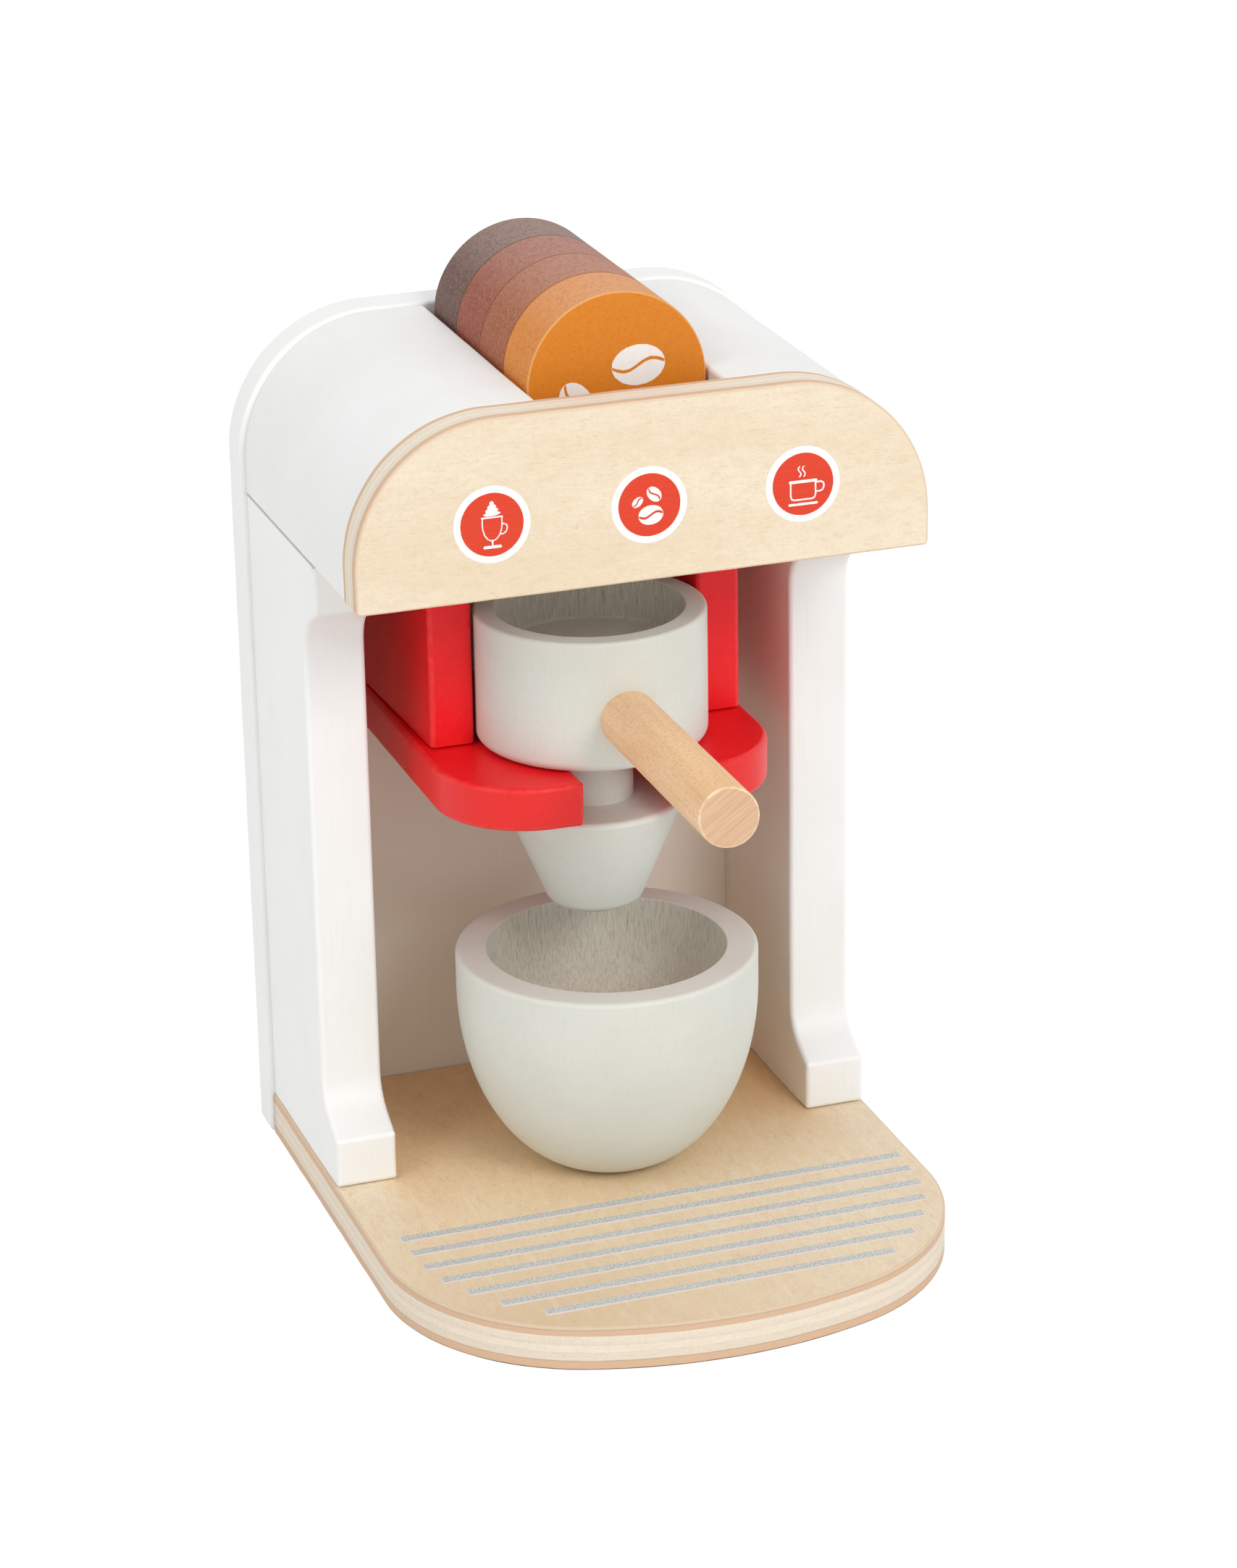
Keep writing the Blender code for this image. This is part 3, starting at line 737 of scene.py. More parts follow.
HOLLOW_TEXTURES = {
    "streaks": Blobs((3.6, 0.3), detail=5, roughness=0.65, distortion=0.15, depth=0.12),
    "speckle": Blobs((0.8, 0.46), detail=4, roughness=0.75, shift=2.4, depth=0.03),
    "patch": Blobs(5, detail=3),
}
BOWL_HOLLOW_FADE = 20.0 * MM
CUP_HOLLOW_FADE = 34.0 * MM


def hollow_paint(name, floor, fade):
    """Thinly painted hollow: raised grain runs up its wall and speckles its floor."""
    look = Recipe(name, HOLLOW_TEXTURES, roughness=0.62, specular=0.25)
    stops = (0.3, (174, 170, 154)), (0.42, (212, 210, 196)), (0.6, (231, 229, 216))
    wall = look.ramp("streaks", *stops)
    stops = (0.34, (184, 154, 135)), (0.48, (219, 202, 186)), (0.66, (235, 226, 212))
    ground = look.ramp("speckle", *stops)
    low = look.levels(look.axis("Z"), floor, floor + fade, 1, 0)
    share = look.times(low, look.levels("patch", 0.3, 0.6, 0.4, 1))
    look.colour = look.blend(share, wall, ground)
    return look.finish(fade=look.levels(share, 0.2, 0.9, 1, 0.15))


BEECH_TEXTURES = {
    "figure": Blobs((55, 9), detail=3, distortion=0.5),
    "rings": Blobs((0.34, 7, 60), detail=4, roughness=0.65, turn=56, depth=0.03),
    "rays": Blobs((1.2, 0.36), detail=3, shift=6.5, depth=0.02),
    "sawn": Blobs((0.26, 9, 30), detail=1, shift=2.2, turn=56),
    "chips": Blobs(1.2, shift=9.1),
}


def beech():
    """Bare beech dowel: grain along it, short rays, and slanted rings on its end."""
    look = Recipe("bare_beech", BEECH_TEXTURES, roughness=0.55, specular=0.3)
    look.colour = look.ramp("figure", (0.3, (238, 196, 148)), (0.68, (248, 215, 173)))
    look.mark("rings", 0.48, 0.75, 0.36, (212, 163, 122))
    look.mark("rays", 0.5, 0.72, 0.6, (212, 160, 118))
    end = look.levels(look.axis("Z", "Normal"), 0.9, 0.97)
    sawn = look.ramp("sawn", (0.36, (210, 168, 135)), (0.62, (221, 184, 150)))
    look.tint(end, sawn, 0.9)
    chips = look.levels("chips", 0.4, 0.62, 0.05, 0.7)
    look.tint(look.times(look.levels(look.worn, 0.6, 1.0), chips), (250, 230, 206))
    return look.finish()


STAIN_TEXTURES = {
    "grain": Blobs((1.5, 0.62), detail=5, roughness=0.7, distortion=0.6, depth=0.08),
    "pale": Blobs((0.9, 0.5), detail=3, distortion=0.4, shift=8.8),
    "fuzz": Blobs(0.5, detail=3, depth=0.02),
}
STAIN_FRONT_ARRIS = (-8.0 * MM, -9.0 * MM)
STAIN_REAR_SHADOW_REACH = (-0.6 * MM, -0.1 * MM)
# Each stain's colours of its faces, sides and dark streaks, and how far its front arris is paler
STAINS = {
    "orange": ((222, 131, 14), (219, 133, 34), (196, 104, 24), 0.5),
    "tan": ((155, 92, 66), (163, 88, 46), (128, 64, 38), 0.12),
    "red_brown": ((128, 68, 54), (151, 74, 49), (114, 48, 34), 0.12),
    "dark_brown": ((82, 59, 51), (105, 71, 62), (70, 44, 38), 0.12),
}


def stained(name, face, side, dark, arris):
    """Stained dowel slice: fuzzy sides, plainer faces, painted light on its top, a pale front arris, and
    painted shadow at its rear arris, where the next disc follows.
    """
    look = Recipe(name, STAIN_TEXTURES, roughness=0.48, specular=0.42, grain=1)
    flat = look.levels(look.maths("ABSOLUTE", look.axis("Y", "Normal")), 0.85, 0.97)
    look.colour = look.blend(flat, side, face)
    # Painted light: faces that look up are paler.
    top_light = look.levels(look.axis("Z", "Normal"), 0.55, 1.0, 0, 0.22)
    look.tint(top_light, (240, 214, 196))
    lighter = look.blend(0.32, side, (240, 220, 196))
    marks = (("grain", 0.46, 0.55, 0.45, dark), ("pale", 0.5, 0.4, 0.14, lighter))
    for texture, low, side_share, face_share, colour in marks:
        rising = look.levels(texture, low, 0.72)
        look.tint(look.times(rising, look.levels(flat, 0, 1, side_share, face_share)), colour)
    front = look.levels(look.axis("Y"), *STAIN_FRONT_ARRIS, 0, arris)
    paler = look.blend(0.5, side, (255, 226, 170))
    look.tint(look.times(look.levels(look.worn, 0.6, 1.0), front), paler)
    # Painted shadow: the rear arris darkens, as the gap to the next disc falls in shade.
    rear = look.levels(look.axis("Y"), *STAIN_REAR_SHADOW_REACH, 0, 0.5)
    look.tint(rear, look.blend(0.5, dark, (40, 20, 12)))
    return look.finish("grain", 0.5, 0.66)


INK_TEXTURES = {"grain": Blobs((5, 0.22), detail=4, roughness=0.7, depth=0.015)}
SILVER_TEXTURES = {"flakes": Blobs(0.42, detail=3, roughness=0.75, depth=0.02)}


def printed(name, ink, thin, grain=0):
    """Screen-printed ink: the grain below shows through as thin streaks."""
    look = Recipe(name, INK_TEXTURES, roughness=0.5, specular=0.35, grain=grain)
    look.colour = ink
    look.mark("grain", 0.5, 0.8, 0.5, thin)
    return look.finish()


def silver_print():
    """Silver-grey ink with metallic-looking speckle."""
    look = Recipe("silver_grey_print", SILVER_TEXTURES, roughness=0.45, specular=0.5)
    stops = (0.36, (158, 166, 172)), (0.5, (196, 199, 197)), (0.64, (234, 228, 212))
    look.colour = look.ramp("flakes", *stops)
    return look.finish()


# Boards

# Slot 1 of a board's material is for faces that look this squarely along an axis
FLAT_FACE = 0.999


def cap_or_edge(axis):
    """Slot 0 for a board's two faces and 1 for its rims and sides."""
    return lambda face: 0 if abs(face.normal["XYZ".index(axis)]) > FLAT_FACE else 1


def facing(axis, sign):
    """Slot 1 for the board's one face that looks along the axis, and 0 for the rest."""
    return lambda face: 1 if face.normal["XYZ".index(axis)] * sign > FLAT_FACE else 0


def upright(node, name, slot, radii, edge, materials, slot_of=None, wider=0.0, thicker=0.0):
    """A board across Y on its node's box, or reaching out of it at both sides or faces."""
    low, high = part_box(node)
    outline = oblong(low.x - wider, high.x + wider, low.z, high.z, radii)
    piece = board(name, outline, low.y - thicker, high.y + thicker, "Y", edge, materials, slot_of)
    dress(piece, "machine", slot, node)


def make_base(face, edge):
    low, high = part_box("base_plate")
    half = high.x - BASE_SIDE_TRIM
    front_y = low.y + BASE_FRONT_RADIUS
    reach = BASE_FRONT_RADIUS - BASE_CORNER_RADIUS

    def front_corner(x):
        """Centre of a corner's arc, and the angle at which it meets the front's arc."""
        across = x - BASE_FRONT_SIDE
        down = math.sqrt(reach**2 - across**2)
        return (x, front_y - down), 360 - math.degrees(math.atan2(down, across))

    left, left_meet = front_corner(BASE_CORNER_RADIUS - half)
    right, right_meet = front_corner(half - BASE_CORNER_RADIUS)
    corner = (BASE_CORNER_RADIUS, BASE_CORNER_RADIUS)
    sweep = (BASE_FRONT_RADIUS, BASE_FRONT_RADIUS)
    rear = high.y + SNUG
    outline = [(-half, rear, 0.0)]
    outline += arc(left, corner, 180, left_meet)
    outline += arc((BASE_FRONT_SIDE, front_y), sweep, left_meet, right_meet)[1:-1]
    outline += arc(right, corner, right_meet, 360)
    outline.append((half, rear, 0.0))
    plate = board("base_board", outline, low.z, high.z, "Z", PLY_EDGE, [face, edge], cap_or_edge("Z"))
    dress(plate, "machine", "birch_plywood", "base_plate")


def make_back(paint, inner):
    radii = (BACK_FOOT_ROUND, BACK_FOOT_ROUND, BACK_SHOULDER, BACK_SHOULDER)
    paints = [paint, inner]
    upright("back_panel", "back_board", "white_paint", radii, SOFT_EDGE, paints, facing("Y", -1))


def wall_box(side):
    """A wall's box with its outer face moved out, to lie flush with the head's."""
    low, high = (Vector(corner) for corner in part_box(side + "_wall"))
    if side == "left":
        low.x -= WALL_OUT
    else:
        high.x += WALL_OUT
    return low, high


def wall_outline(low, high):
    """Side view of a wall: its front is cut back in a cove above and below."""
    front = low.y
    post = high.y + PART_GAP - WALL_POST_DEPTH
    rear = high.y + SNUG
    foot = low.z + WALL_FOOT_HEIGHT
    brow = high.z - WALL_FOOT_HEIGHT
    return fillet([
        (rear, low.z - SNUG, TIGHT_EDGE),
        (front, low.z - SNUG, FOOT_ROUND),
        (front, foot, NOSE_ROUND),
        (post, foot + WALL_COVE_RISE, WALL_COVE_RADIUS),
        (post, brow - WALL_COVE_RISE, WALL_COVE_RADIUS),
        (front, brow, NOSE_ROUND),
        (front, high.z, TIGHT_EDGE),
        (rear, high.z, TIGHT_EDGE),
    ])


def make_walls(paint, inner):
    for side, inward in (("left", 1), ("right", -1)):
        low, high = wall_box(side)

        def edge(u, v, low=low, high=high):
            """Tight where the wall is glued, soft elsewhere and under its toe."""
            under = v < low.z + TIGHT_EDGE and u > low.y + TOE_LENGTH
            glued = v > high.z - TIGHT_EDGE or u > high.y - TIGHT_EDGE or under
            return TIGHT_EDGE if glued else WALL_EDGE

        def wobble(u, v, low=low):
            """The foot was sanded by hand more than the rest."""
            on_foot = v < low.z + WALL_FOOT_HEIGHT and u < low.y + FOOT_LENGTH
            return FOOT_WOBBLE if on_foot else WOBBLE

        name = side + "_side_wall"
        paints = [paint, inner]
        outline = wall_outline(low, high)
        wall = board(name, outline, low.x, high.x, "X", edge, paints, facing("X", inward), wobble)
        dress(wall, "machine", "white_paint", side + "_wall")


def make_joint_shadow_lines(shadow):
    """Painted shadow lines: grey slabs in the open joints between the walls and the head."""
    inset = JOINT_LINE_INSET
    for side in ("left", "right"):
        low, high = wall_box(side)
        outline = oblong(low.x + inset, high.x - inset, high.z - JOINT_LINE_HEIGHT, high.z + PART_GAP)
        name = side + "_joint_line"
        line = board(name, outline, low.y + inset, high.y, "Y", inset, [shadow], wobble=0.0)
        dress(line, "machine", None)


def make_head(paint):
    """The two head blocks, and between them the floor of the capsules' channel."""
    tight, channel, shoulder = TIGHT_EDGE, HEAD_CHANNEL_ROUND, HEAD_SHOULDER
    pieces = (
        ("left_head", "left_head_block", 0.0, (tight, tight, channel, shoulder)),
        ("right_head", "right_head_block", 0.0, (tight, tight, shoulder, channel)),
        ("channel_board", "channel_floor", SNUG, (tight, tight, tight, tight)),
    )
    for name, node, wider, radii in pieces:
        upright(node, name, "white_paint", radii, tight, [paint], wider=wider, thicker=SNUG)


def make_front(face, edge):
    radii = (BOARD_CORNER, BOARD_CORNER, HEAD_SHOULDER, HEAD_SHOULDER)
    woods = [face, edge]
    upright("front_panel", "front_board", "birch_plywood", radii, PLY_EDGE, woods, cap_or_edge("Y"))


def make_shelf(paint):
    low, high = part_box("filter_shelf")
    slot_y = turned_size("filter_neck")[2].y
    slot = SHELF_SLOT_RADIUS
    rear = high.y + SNUG
    outline = fillet([
        (slot, slot_y, 0.0),
        (slot, low.y, SHELF_TIP_ROUND),
        (high.x, low.y, SHELF_CORNER_RADIUS),
        (high.x, rear, 0.0),
        (low.x, rear, 0.0),
        (low.x, low.y, SHELF_CORNER_RADIUS),
        (-slot, low.y, SHELF_TIP_ROUND),
        (-slot, slot_y, 0.0),
    ], closed=False)
    outline += arc((0, slot_y), (slot, slot), 180, 0)[1:-1]
    shelf = board("red_shelf", outline, low.z, high.z, "Z", RED_EDGE, [paint])
    dress(shelf, "machine", "red_paint", "filter_shelf")


def make_hangers(paint):
    for side, outer_flare in (("left", -HANGER_FLARE), ("right", HANGER_FLARE)):
        node = side + "_hanger"
        low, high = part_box(node)
        inner, outer = (high.x, low.x) if side == "left" else (low.x, high.x)
        rear = high.y + SNUG
        outline = fillet([
            (inner, low.y, RED_EDGE),
            (outer - outer_flare, low.y, RED_EDGE),
            (outer, rear, TIGHT_EDGE),
            (inner, rear, TIGHT_EDGE),
        ])
        hanger = board(side + "_red_hanger", outline, low.z, high.z + SNUG, "Z", TIGHT_EDGE, [paint])
        dress(hanger, "machine", "red_paint", node)


# Turned pieces

def turned_size(node):
    """Radius and height of an upright turned node, and the middle of its foot."""
    low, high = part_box(node)
    foot = Vector(((low.x + high.x) / 2, (low.y + high.y) / 2, low.z))
    return (high.x - low.x) / 2, high.z - low.z, foot


def spindle(radii, heights, rounds):
    """Profile of a solid turned piece. Each argument is a pair, for its bottom and its top."""
    bottom, top = heights
    return fillet([(0, bottom, 0), *zip(radii, heights, rounds), (0, top, 0)], closed=False)


def make_bowl(paint, hollow):
    radius, height, foot = turned_size("filter_bowl")
    inner = radius - BOWL_WALL
    floor = height - BOWL_HOLLOW_DEPTH
    profile = fillet([
        (0, 0, 0),
        (radius, 0, BOWL_FOOT_ROUND),
        (radius, height, BOWL_RIM_ROUND),
        (inner, height, HOLLOW_LIP),
        (inner, floor, HOLLOW_CORNER),
        (0, floor, 0),
    ], closed=False)

    def inside(face):
        spot = face.calc_center_median()
        return 1 if spot.z > floor - HOLLOW_LIP and spot.xy.length < inner + HOLLOW_PAINT_REACH else 0

    bowl = turned("grey_filter_bowl", profile, [paint, hollow], inside)
    bowl.location = (0, foot.y, foot.z)
    dress(bowl, "filter_holder", "grey_green_paint", "filter_bowl")


def make_neck_and_funnel(paint):
    neck_radius = turned_size("filter_neck")[0]
    pieces = (
        ("filter_neck", neck_radius, (TIGHT_EDGE, TIGHT_EDGE)),
        ("filter_funnel", FUNNEL_TIP_RADIUS, (FUNNEL_TIP_ROUND, FUNNEL_RIM_ROUND)),
    )
    for node, bottom_radius, rounds in pieces:
        radius, height, foot = turned_size(node)
        profile = spindle((bottom_radius, radius), (0, height), rounds)
        piece = turned("grey_" + node, profile, [paint])
        piece.location = foot
        dress(piece, "filter_spout", "grey_green_paint", node)


def handle_frame():
    """Turns +Z to the handle's direction and moves it to the handle's root."""
    low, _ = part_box("filter_bowl")
    root = Vector((0, low.y, low.z + HANDLE_ROOT_HEIGHT))
    swing = Matrix.Rotation(HANDLE_SWING, 4, "Z")
    return Matrix.Translation(root) @ swing @ Matrix.Rotation(math.pi / 2 - HANDLE_RISE, 4, "X")


def make_handle(wood):
    low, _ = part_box("filter_handle")
    place = handle_frame()
    direction = place.to_3x3() @ Vector((0, 0, 1))
    overhang = HANDLE_RADIUS * math.sqrt(1 - direction.y**2)
    length = (low.y + overhang - place.translation.y) / direction.y
    rounds = (HANDLE_END_ROUND, HANDLE_END_ROUND)
    profile = spindle((HANDLE_RADIUS, HANDLE_RADIUS), (-HANDLE_SOCKET_DEPTH, length), rounds)
    handle = turned("beech_handle", profile, [wood], segments=HANDLE_SEGMENTS)
    handle.matrix_world = place
    dress(handle, "filter_holder", "beech", "filter_handle")


def cup_outline(radius, height):
    """Round belly, upright band below the rim, and a round-bottomed hollow."""
    belly_top = height - CUP_BAND
    belly_width = radius - CUP_BELLY_CENTRE_RADIUS
    foot_turn = math.acos((CUP_FOOT_RADIUS - CUP_BELLY_CENTRE_RADIUS) / belly_width)
    belly = (belly_width, belly_top / math.sin(foot_turn))
    outside = arc((CUP_BELLY_CENTRE_RADIUS, belly_top), belly, -math.degrees(foot_turn), 0)
    inner = radius - CUP_WALL
    hollow_top = height - CUP_RIM_ROUND
    rim = fillet([
        (radius, belly_top, 0),
        (radius, height, CUP_RIM_ROUND),
        (inner, height, HOLLOW_LIP),
        (inner, hollow_top, 0),
    ], closed=False)
    hollow = (inner - CUP_HOLLOW_FLAT, hollow_top - CUP_FLOOR)
    inside = arc((CUP_HOLLOW_FLAT, hollow_top), hollow, 0, -90)
    return [(0, 0, 0)] + outside + rim[1:-1] + inside + [(0, CUP_FLOOR, 0)]


def make_cup(paint, hollow):
    radius, height, foot = turned_size("coffee_cup")
    inner = radius - CUP_WALL

    def inside(face):
        spot = face.calc_center_median()
        up_or_in = face.normal.z > CUP_LEAST_RISE or face.normal.xy.dot(spot.xy) < 0
        near = spot.xy.length < inner + HOLLOW_PAINT_REACH
        return 1 if up_or_in and near and spot.z > CUP_FLOOR / 2 else 0

    cup = turned("grey_coffee_cup", cup_outline(radius, height), [paint, hollow], inside)
    cup.location = foot
    dress(cup, "cup", "grey_green_paint", "coffee_cup")


def make_capsule(node, body, slot, stain):
    low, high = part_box(node)
    radius = (high.x - low.x) / 2
    profile = spindle((radius, radius), (0, high.y - low.y), (CAPSULE_ROUND, CAPSULE_ROUND))
    disc = turned(node + "_disc", profile, [stain])
    turn = Matrix.Rotation(math.pi / 2, 4, "X")
    for vertex in disc.data.vertices:
        vertex.co = turn @ vertex.co
    disc.location = ((low.x + high.x) / 2, high.y, (low.z + high.z) / 2)
    dress(disc, body, slot, node)


# Prints

def in_mm(*points):
    """Points written in millimetres, in metres."""
    return [(u * MM, v * MM) for u, v in points]


def with_mirror(half):
    """A line and its mirror image. A point on the middle line isn't doubled."""
    return half + [(-u, v) for u, v in reversed(half) if u]


PRINT_LAYER = 0.05 * MM
PRINT_HAIR = 0.001 * MM
PRINT_FRAY = 0.04 * MM
LOOSE_FRAY = 0.1 * MM
PRINT_FRAY_WAVE = 0.35 * MM

# Signs on the front panel, from the left
BADGE_NAMES = ("left_badge", "middle_badge", "right_badge")
BADGE_PLACES = in_mm((-32.0, 164.0), (0.5, 164.1), (32.9, 164.5))
BADGE_WHITE_RADIUS = 7.9 * MM
BADGE_RED_RADIUS = 6.45 * MM
ICON_LINE = 0.32 * MM
ICON_THIN_LINE = 0.24 * MM
ICON_THICK_LINE = 0.6 * MM
SAUCER_LINE = 0.5 * MM

# Footed glass: its sides, handle, rim, stem and foot
GLASS_STROKES = (
    (ICON_THIN_LINE, with_mirror(in_mm(
        (-2.0, 1.3), (-2.02, 0.2), (-1.92, -0.9), (-1.6, -2.0), (-1.0, -2.85), (-0.35, -3.25)
    ))),
    (ICON_THIN_LINE, in_mm(
        (2.0, -0.1), (2.45, 0.0), (2.95, -0.3), (3.1, -0.95), (2.85, -1.6), (2.3, -2.05), (1.65, -2.1)
    )),
    (ICON_LINE, in_mm((-2.1, 1.5), (2.1, 1.5))),
    (ICON_LINE, in_mm((0, -3.2), (0, -4.4))),
    (ICON_THICK_LINE, in_mm((-1.6, -4.55), (1.6, -4.55))),
)
# Each swirl of cream: height, half width and half height in millimetres, tilt in degrees
GLASS_SWIRLS = ((2.2, 1.75, 0.42, 4), (2.9, 1.35, 0.5, 6), (3.6, 0.9, 0.55, 8), (4.2, 0.48, 0.6, 0))

# Cup: its sides, handle, brim and saucer, and the wisps of steam over it
CUP_STROKES = (
    (ICON_LINE, with_mirror(in_mm(
        (-2.65, 0.5), (-2.65, -2.3), (-2.45, -2.95), (-1.9, -3.2), (0, -3.2)
    ))),
    (ICON_LINE, in_mm(
        (2.65, 0.15), (3.9, 0.15), (4.35, -0.2), (4.45, -0.85), (4.2, -1.5), (3.7, -1.8), (2.65, -1.8)
    )),
    (ICON_THICK_LINE, in_mm((-2.75, 0.55), (2.75, 0.55))),
    (SAUCER_LINE, in_mm((-2.9, -4.15), (2.9, -4.15))),
)
STEAM_FEET = in_mm((-0.75, 1.6), (0.15, 1.6))
STEAM_RISE = 2.1 * MM
STEAM_BEND = 0.3 * MM
STEAM_LINE = 0.26 * MM
STEAM_STEPS = 8

# Coffee beans in millimetres: place, half length, half width, width of the split, tilt in degrees
SIGN_BEANS = (
    (0.25, -2.1, 2.6, 2.0, 0.5, 4),
    (1.0, 2.1, 1.8, 1.3, 0.36, -48),
    (-2.5, 0.8, 1.3, 0.9, 0.3, 40),
)
CAPSULE_BEANS = (
    (4.5, 3.4, 5.6, 4.15, 0.7, 3),
    (-8.6, -2.9, 4.4, 3.2, 0.6, -58),
    (1.5, -8.6, 4.6, 3.3, 0.6, -20),
)
BEAN_WAVE_SHARE = 0.24
BEAN_LEAST_STEPS = 12

# Stripes on the base: place along Y, and half length
STRIPE_PLACES = in_mm(
    (-10.4, 55.7), (-17.1, 55.5), (-23.9, 54.9), (-30.7, 53.1),
    (-37.5, 49.9), (-44.3, 45.0), (-51.1, 37.8)
)
STRIPE_SIDE = 1.6 * MM
STRIPE_WIDTH = 2.7 * MM
STRIPE_BORDER = 0.3 * MM


def stroke(width, points):
    """Outline of a line with round ends that follows the points."""
    path = walk([(u, v, 0.0) for u, v in points], PRINT_STEP, closed=False)
    sides = outward(path, closed=False)
    half = width / 2
    right = [(p[0] + n.x * half, p[1] + n.y * half, 0.0) for p, n in zip(path, sides)]
    left = [(p[0] - n.x * half, p[1] - n.y * half, 0.0) for p, n in zip(path, sides)]
    ends = []
    for point, side in ((path[-1], sides[-1]), (path[0], -sides[0])):
        start = math.degrees(math.atan2(side.y, side.x))
        ends.append(arc(point, (half, half), start, start + 180, PRINT_STEP)[1:-1])
    return right + ends[0] + left[::-1] + ends[1]


def placed(points, centre, degrees):
    """Outline points turned and moved to their place."""
    turn = Matrix.Rotation(math.radians(degrees), 2)
    spots = [turn @ Vector(point[:2]) + Vector(centre) for point in points]
    return [(spot.x, spot.y, 0.0) for spot in spots]


def ellipse(centre, radii, degrees=0.0):
    return placed(arc((0, 0), radii, 0, 360, PRINT_STEP)[:-1], centre, degrees)


def bean(centre, radii, split, degrees):
    """Two halves of a coffee bean, parted by an S-shaped split along its length."""
    half_long, half_wide = radii

    def middle(u):
        return BEAN_WAVE_SHARE * half_wide * math.sin(math.pi * u / half_long)

    count = max(BEAN_LEAST_STEPS, math.ceil(2 * half_long / PRINT_STEP))
    halves = []
    for side in (1, -1):
        half = []
        for index in range(count + 1):
            u = half_long * (2 * index / count - 1)
            rim = half_wide * math.sqrt(max(0.0, 1 - (u / half_long) ** 2))
            half.append((u, side * min(side * middle(u) + split / 2, rim)))
        for u, v, _ in arc((0, 0), radii, 0, 180 * side, PRINT_STEP)[1:-1]:
            if side * v > side * middle(u) + split / 2:
                half.append((u, v))
        halves.append(placed(half, centre, degrees))
    return halves


def beans(rows):
    outlines = []
    for *sizes, degrees in rows:
        u, v, half_long, half_wide, split = (size * MM for size in sizes)
        outlines += bean((u, v), (half_long, half_wide), split, degrees)
    return outlines


def bar(left, right, low, high):
    return walk(oblong(left, right, low, high), PRINT_STEP)


def print_on(name, body, layers, axis, surface, outwards, inks, place=(0, 0), fray=PRINT_FRAY):
    """Ink as thin slabs on a flat face. layers holds (outline, level, slot) entries.

    Later slabs stand a hair higher, so that none share a plane.
    """
    shape = bmesh.new()
    for number, (outline, level, slot) in enumerate(layers):
        outline = anticlockwise(outline)
        top = surface + outwards * (level * PRINT_LAYER + number * PRINT_HAIR)
        near, far = [], []
        for (u, v, _), normal in zip(outline, outward(outline)):
            spot = Vector((u + place[0], v + place[1], level))
            push = uneven(spot, PRINT_FRAY_WAVE, fray)
            at = (u + place[0] + normal.x * push, v + place[1] + normal.y * push)
            near.append(shape.verts.new(AXES[axis](*at, surface)))
            far.append(shape.verts.new(AXES[axis](*at, top)))
        faces = [shape.faces.new(near), shape.faces.new(far)]
        faces += join_rings(shape, [near, far])
        for face in faces:
            face.material_index = slot
    piece = make_object(name, shape, inks)
    piece.modifiers.clear()
    piece.data.shade_flat()
    dress(piece, body, None)


def glass_icon():
    """A tall footed glass with a swirl of cream."""
    outlines = [stroke(*line) for line in GLASS_STROKES]
    for rise, half_wide, half_high, degrees in GLASS_SWIRLS:
        outlines.append(ellipse((0.0, rise * MM), (half_wide * MM, half_high * MM), degrees))
    return outlines


def cup_icon():
    """A square cup on a saucer, with two wisps of steam."""
    outlines = [stroke(*line) for line in CUP_STROKES]
    for foot, low in STEAM_FEET:
        wisp = []
        for index in range(STEAM_STEPS + 1):
            share = index / STEAM_STEPS
            wisp.append((foot + STEAM_BEND * math.sin(share * math.tau), low + STEAM_RISE * share))
        outlines.append(stroke(STEAM_LINE, wisp))
    return outlines


def make_badges(white, red):
    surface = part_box("front_panel")[0].y
    discs = [
        (ellipse((0, 0), (BADGE_WHITE_RADIUS, BADGE_WHITE_RADIUS)), 1, 0),
        (ellipse((0, 0), (BADGE_RED_RADIUS, BADGE_RED_RADIUS)), 2, 1),
    ]
    icons = (glass_icon(), beans(SIGN_BEANS), cup_icon())
    for name, icon, place in zip(BADGE_NAMES, icons, BADGE_PLACES):
        layers = discs + [(outline, 3, 0) for outline in icon]
        print_on(name, "machine", layers, "Y", surface, -1, [white, red], place)


def make_capsule_print(node, body, white):
    low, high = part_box(node)
    place = ((low.x + high.x) / 2, (low.z + high.z) / 2)
    layers = [(outline, 1, 0) for outline in beans(CAPSULE_BEANS)]
    print_on(node + "_print", body, layers, "Y", low.y, -1, [white], place, LOOSE_FRAY)


def make_stripes(silver, border):
    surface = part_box("base_plate")[1].z
    inset = STRIPE_BORDER
    for number, (middle, half) in enumerate(STRIPE_PLACES, 1):
        low = middle - STRIPE_WIDTH / 2
        high = middle + STRIPE_WIDTH / 2
        layers = [
            (bar(-half, half, low, high), 1, 1),
            (bar(-half + inset, half - inset, low + 2 * inset, high), 2, 0),
        ]
        name = "stripe_" + str(number)
        print_on(name, "machine", layers, "Z", surface, 1, [silver, border], (STRIPE_SIDE, 0))


# Stage

CAMERA_PLACE = (-0.28405, -0.82602, 0.44320)
CAMERA_AZIMUTH = math.radians(-18.89)
CAMERA_ELEVATION = math.radians(21.49)
CAMERA_ROLL = math.radians(-0.96)
CAMERA_LENS = 105.21
CAMERA_SENSOR = 36.0
FLOOR_SIZE = 6.0
FLOOR_GLOW = 0.93
FLOOR_SHADE = (0.13, 0.13, 0.13, 1.0)
FLOOR_COLOUR = linear(236, 236, 234)
AMBIENT = (0.78, 0.78, 0.785, 1.0)
WHITE = (1.0, 1.0, 1.0, 1.0)
# Each lamp's name, place and power
LAMPS = (
    ("front_softbox", (0.36, -1.345, 1.065), 8.0),
    ("left_softbox", (-1.18, -0.55, 1.183), 3.2),
)
LAMP_TARGET = Vector((0, 0, 0.09))
LAMP_SIZE = 0.6


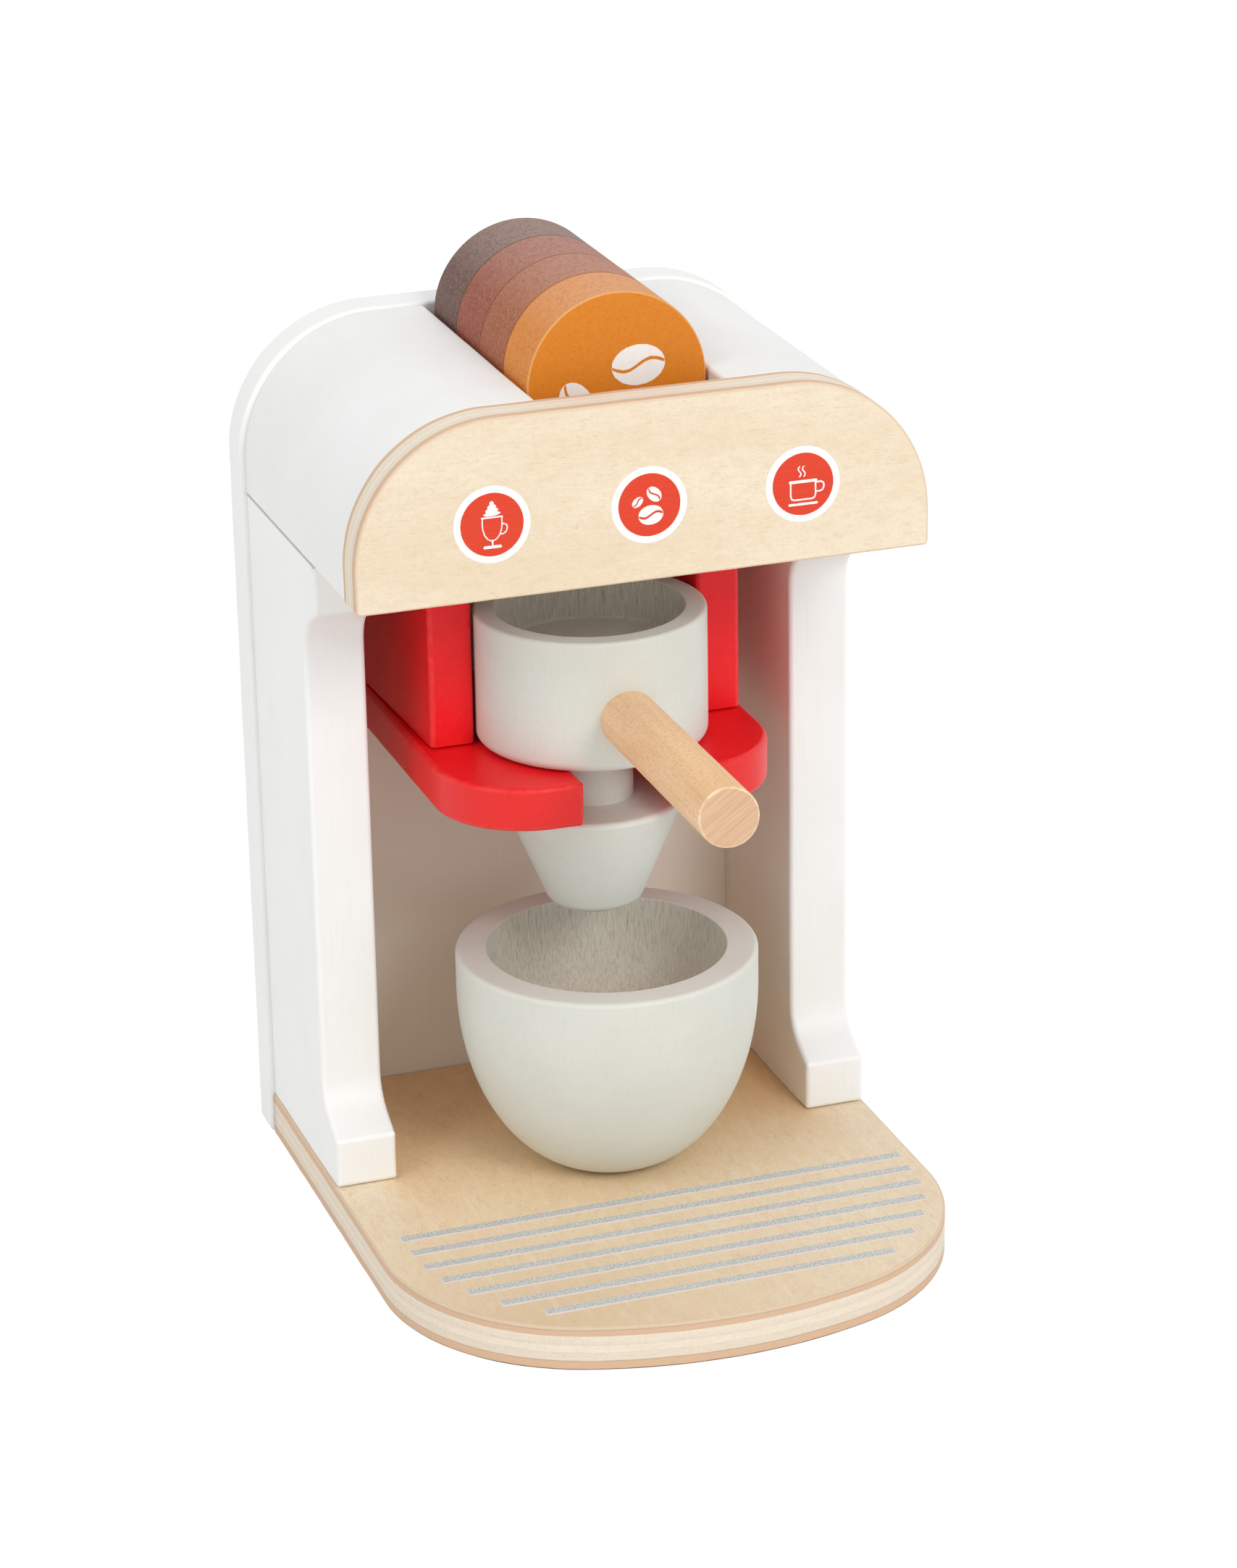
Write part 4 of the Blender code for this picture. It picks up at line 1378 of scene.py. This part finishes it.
def make_camera():
    data = bpy.data.cameras.new("photo_camera")
    data.lens = CAMERA_LENS
    data.sensor_width = CAMERA_SENSOR
    camera = in_scene("photo_camera", data)
    heading = Matrix.Rotation(CAMERA_AZIMUTH, 4, "Z")
    tilt = Matrix.Rotation(math.pi / 2 - CAMERA_ELEVATION, 4, "X")
    roll = Matrix.Rotation(CAMERA_ROLL, 4, "Z")
    camera.matrix_world = Matrix.Translation(CAMERA_PLACE) @ heading @ tilt @ roll
    bpy.context.scene.camera = camera


def show(tree, lighting, shown, output):
    """Light the object with one shader. Show the other to the camera, and in gloss and glass."""
    rays = add_node(tree, "ShaderNodeLightPath", {}).outputs
    share = rays["Is Camera Ray"]
    for kind in ("Is Glossy Ray", "Is Transmission Ray"):
        either = add_node(tree, "ShaderNodeMath", {0: share, 1: rays[kind]}, operation="MAXIMUM")
        share = either.outputs[0]
    inputs = {0: share, 1: lighting.outputs[0], 2: shown.outputs[0]}
    mix = add_node(tree, "ShaderNodeMixShader", inputs)
    feed(tree, tree.nodes[output].inputs["Surface"], mix.outputs[0])


def make_floor():
    """Pale floor that shows as white with the object's soft shadow on it."""
    shape = bmesh.new()
    half = FLOOR_SIZE / 2
    shape.faces.new([shape.verts.new(corner) for corner in oblong(-half, half, -half, half)])
    material = bpy.data.materials.new("studio_floor")
    material.use_nodes = True
    tree = material.node_tree
    paper = tree.nodes["Principled BSDF"]
    paper.inputs["Base Color"].default_value = FLOOR_COLOUR
    paper.inputs["Roughness"].default_value = 1.0
    paper.inputs["Specular IOR Level"].default_value = 0.0
    glow = add_node(tree, "ShaderNodeEmission", {"Strength": FLOOR_GLOW})
    faint = add_node(tree, "ShaderNodeBsdfDiffuse", {"Color": FLOOR_SHADE})
    shown = add_node(tree, "ShaderNodeAddShader", {0: glow.outputs[0], 1: faint.outputs[0]})
    show(tree, paper, shown, "Material Output")
    floor = make_object("studio_floor", shape, [material])


def make_world():
    """Plain light from all round, behind a white background."""
    world = bpy.data.worlds.new("studio")
    bpy.context.scene.world = world
    world.use_nodes = True
    tree = world.node_tree
    ambient = tree.nodes["Background"]
    ambient.inputs["Color"].default_value = AMBIENT
    shown = add_node(tree, "ShaderNodeBackground", {"Color": WHITE})
    show(tree, ambient, shown, "World Output")


def make_lamps():
    for name, place, power in LAMPS:
        data = bpy.data.lights.new(name, "AREA")
        data.shape = "DISK"
        data.size = LAMP_SIZE
        data.energy = power
        lamp = in_scene(name, data)
        aim = (LAMP_TARGET - Vector(place)).to_track_quat("-Z", "Y")
        lamp.matrix_world = Matrix.Translation(place) @ aim.to_matrix().to_4x4()


def make_stage():
    make_floor()
    make_world()
    make_lamps()
    make_camera()
    bpy.context.scene.view_settings.view_transform = "Standard"


def make_machine():
    white = white_paint("white_paint_upright", 2)
    # The inside copy carries a painted warm bounce light between the walls.
    inner = white_paint("white_paint_bay_painted_bounce", 2, inside=True)
    veneer = birch_face("birch_front_veneer", 0, (242, 229, 205), (236, 219, 192), (222, 190, 151), 0.6)
    base_veneer = birch_face(
        "birch_base_veneer", 1, (243, 231, 206), (237, 220, 190), (219, 187, 148), 0.8, is_base=True
    )
    low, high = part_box("base_plate")
    # The base's first arris is its bottom one, drawn dark as a painted contact shadow.
    make_base(base_veneer, ply_edge("base_ply_edge", "Z", low.z, high.z, (110, 88, 66)))
    make_back(white, inner)
    make_walls(white, inner)
    # The head's white is a darker copy of the same paint: painted shade for the stronger light that
    # falls on the head.
    make_head(white_paint("white_paint_painted_shade", 1, shade=243))
    # grey paint for the painted shadow lines in the joints
    make_joint_shadow_lines(white_paint("joint_line", 1, shade=205))
    low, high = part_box("front_panel")
    make_front(veneer, ply_edge("front_ply_edge", "Y", low.y, high.y, (232, 208, 180)))
    red = red_paint()
    make_shelf(red)
    make_hangers(red)


def make_moving_pieces(wood):
    grey = grey_green_paint()
    make_bowl(grey, hollow_paint("bowl_hollow_paint", 0.0, BOWL_HOLLOW_FADE))
    make_neck_and_funnel(grey)
    make_handle(wood)
    make_cup(grey, hollow_paint("cup_hollow_paint", CUP_FLOOR, CUP_HOLLOW_FADE))
    white = printed("white_ink", (247, 246, 243), (232, 222, 208), grain=2)
    for shade, colours in STAINS.items():
        node = "capsule_" + shade
        body = "disc_" + shade
        make_capsule(node, body, shade + "_stain", stained(shade + "_stained_wood", *colours))
        make_capsule_print(node, body, white)


def paint_pins(wood):
    """The pins keep the shape of their nodes."""
    pins = [piece for node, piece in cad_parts.items() if "_pin_" in node]
    for pin in pins:
        pin.data.materials.clear()
        pin.data.materials.append(wood)


def make_prints():
    white = printed("badge_white_ink", (247, 247, 246), (238, 232, 222))
    red = printed("badge_red_ink", (224, 62, 33), (234, 100, 70))
    make_badges(white, red)
    make_stripes(silver_print(), printed("stripe_border_ink", (232, 220, 212), (212, 200, 190)))


wood = beech()
make_machine()
make_moving_pieces(wood)
paint_pins(wood)
make_prints()
make_stage()
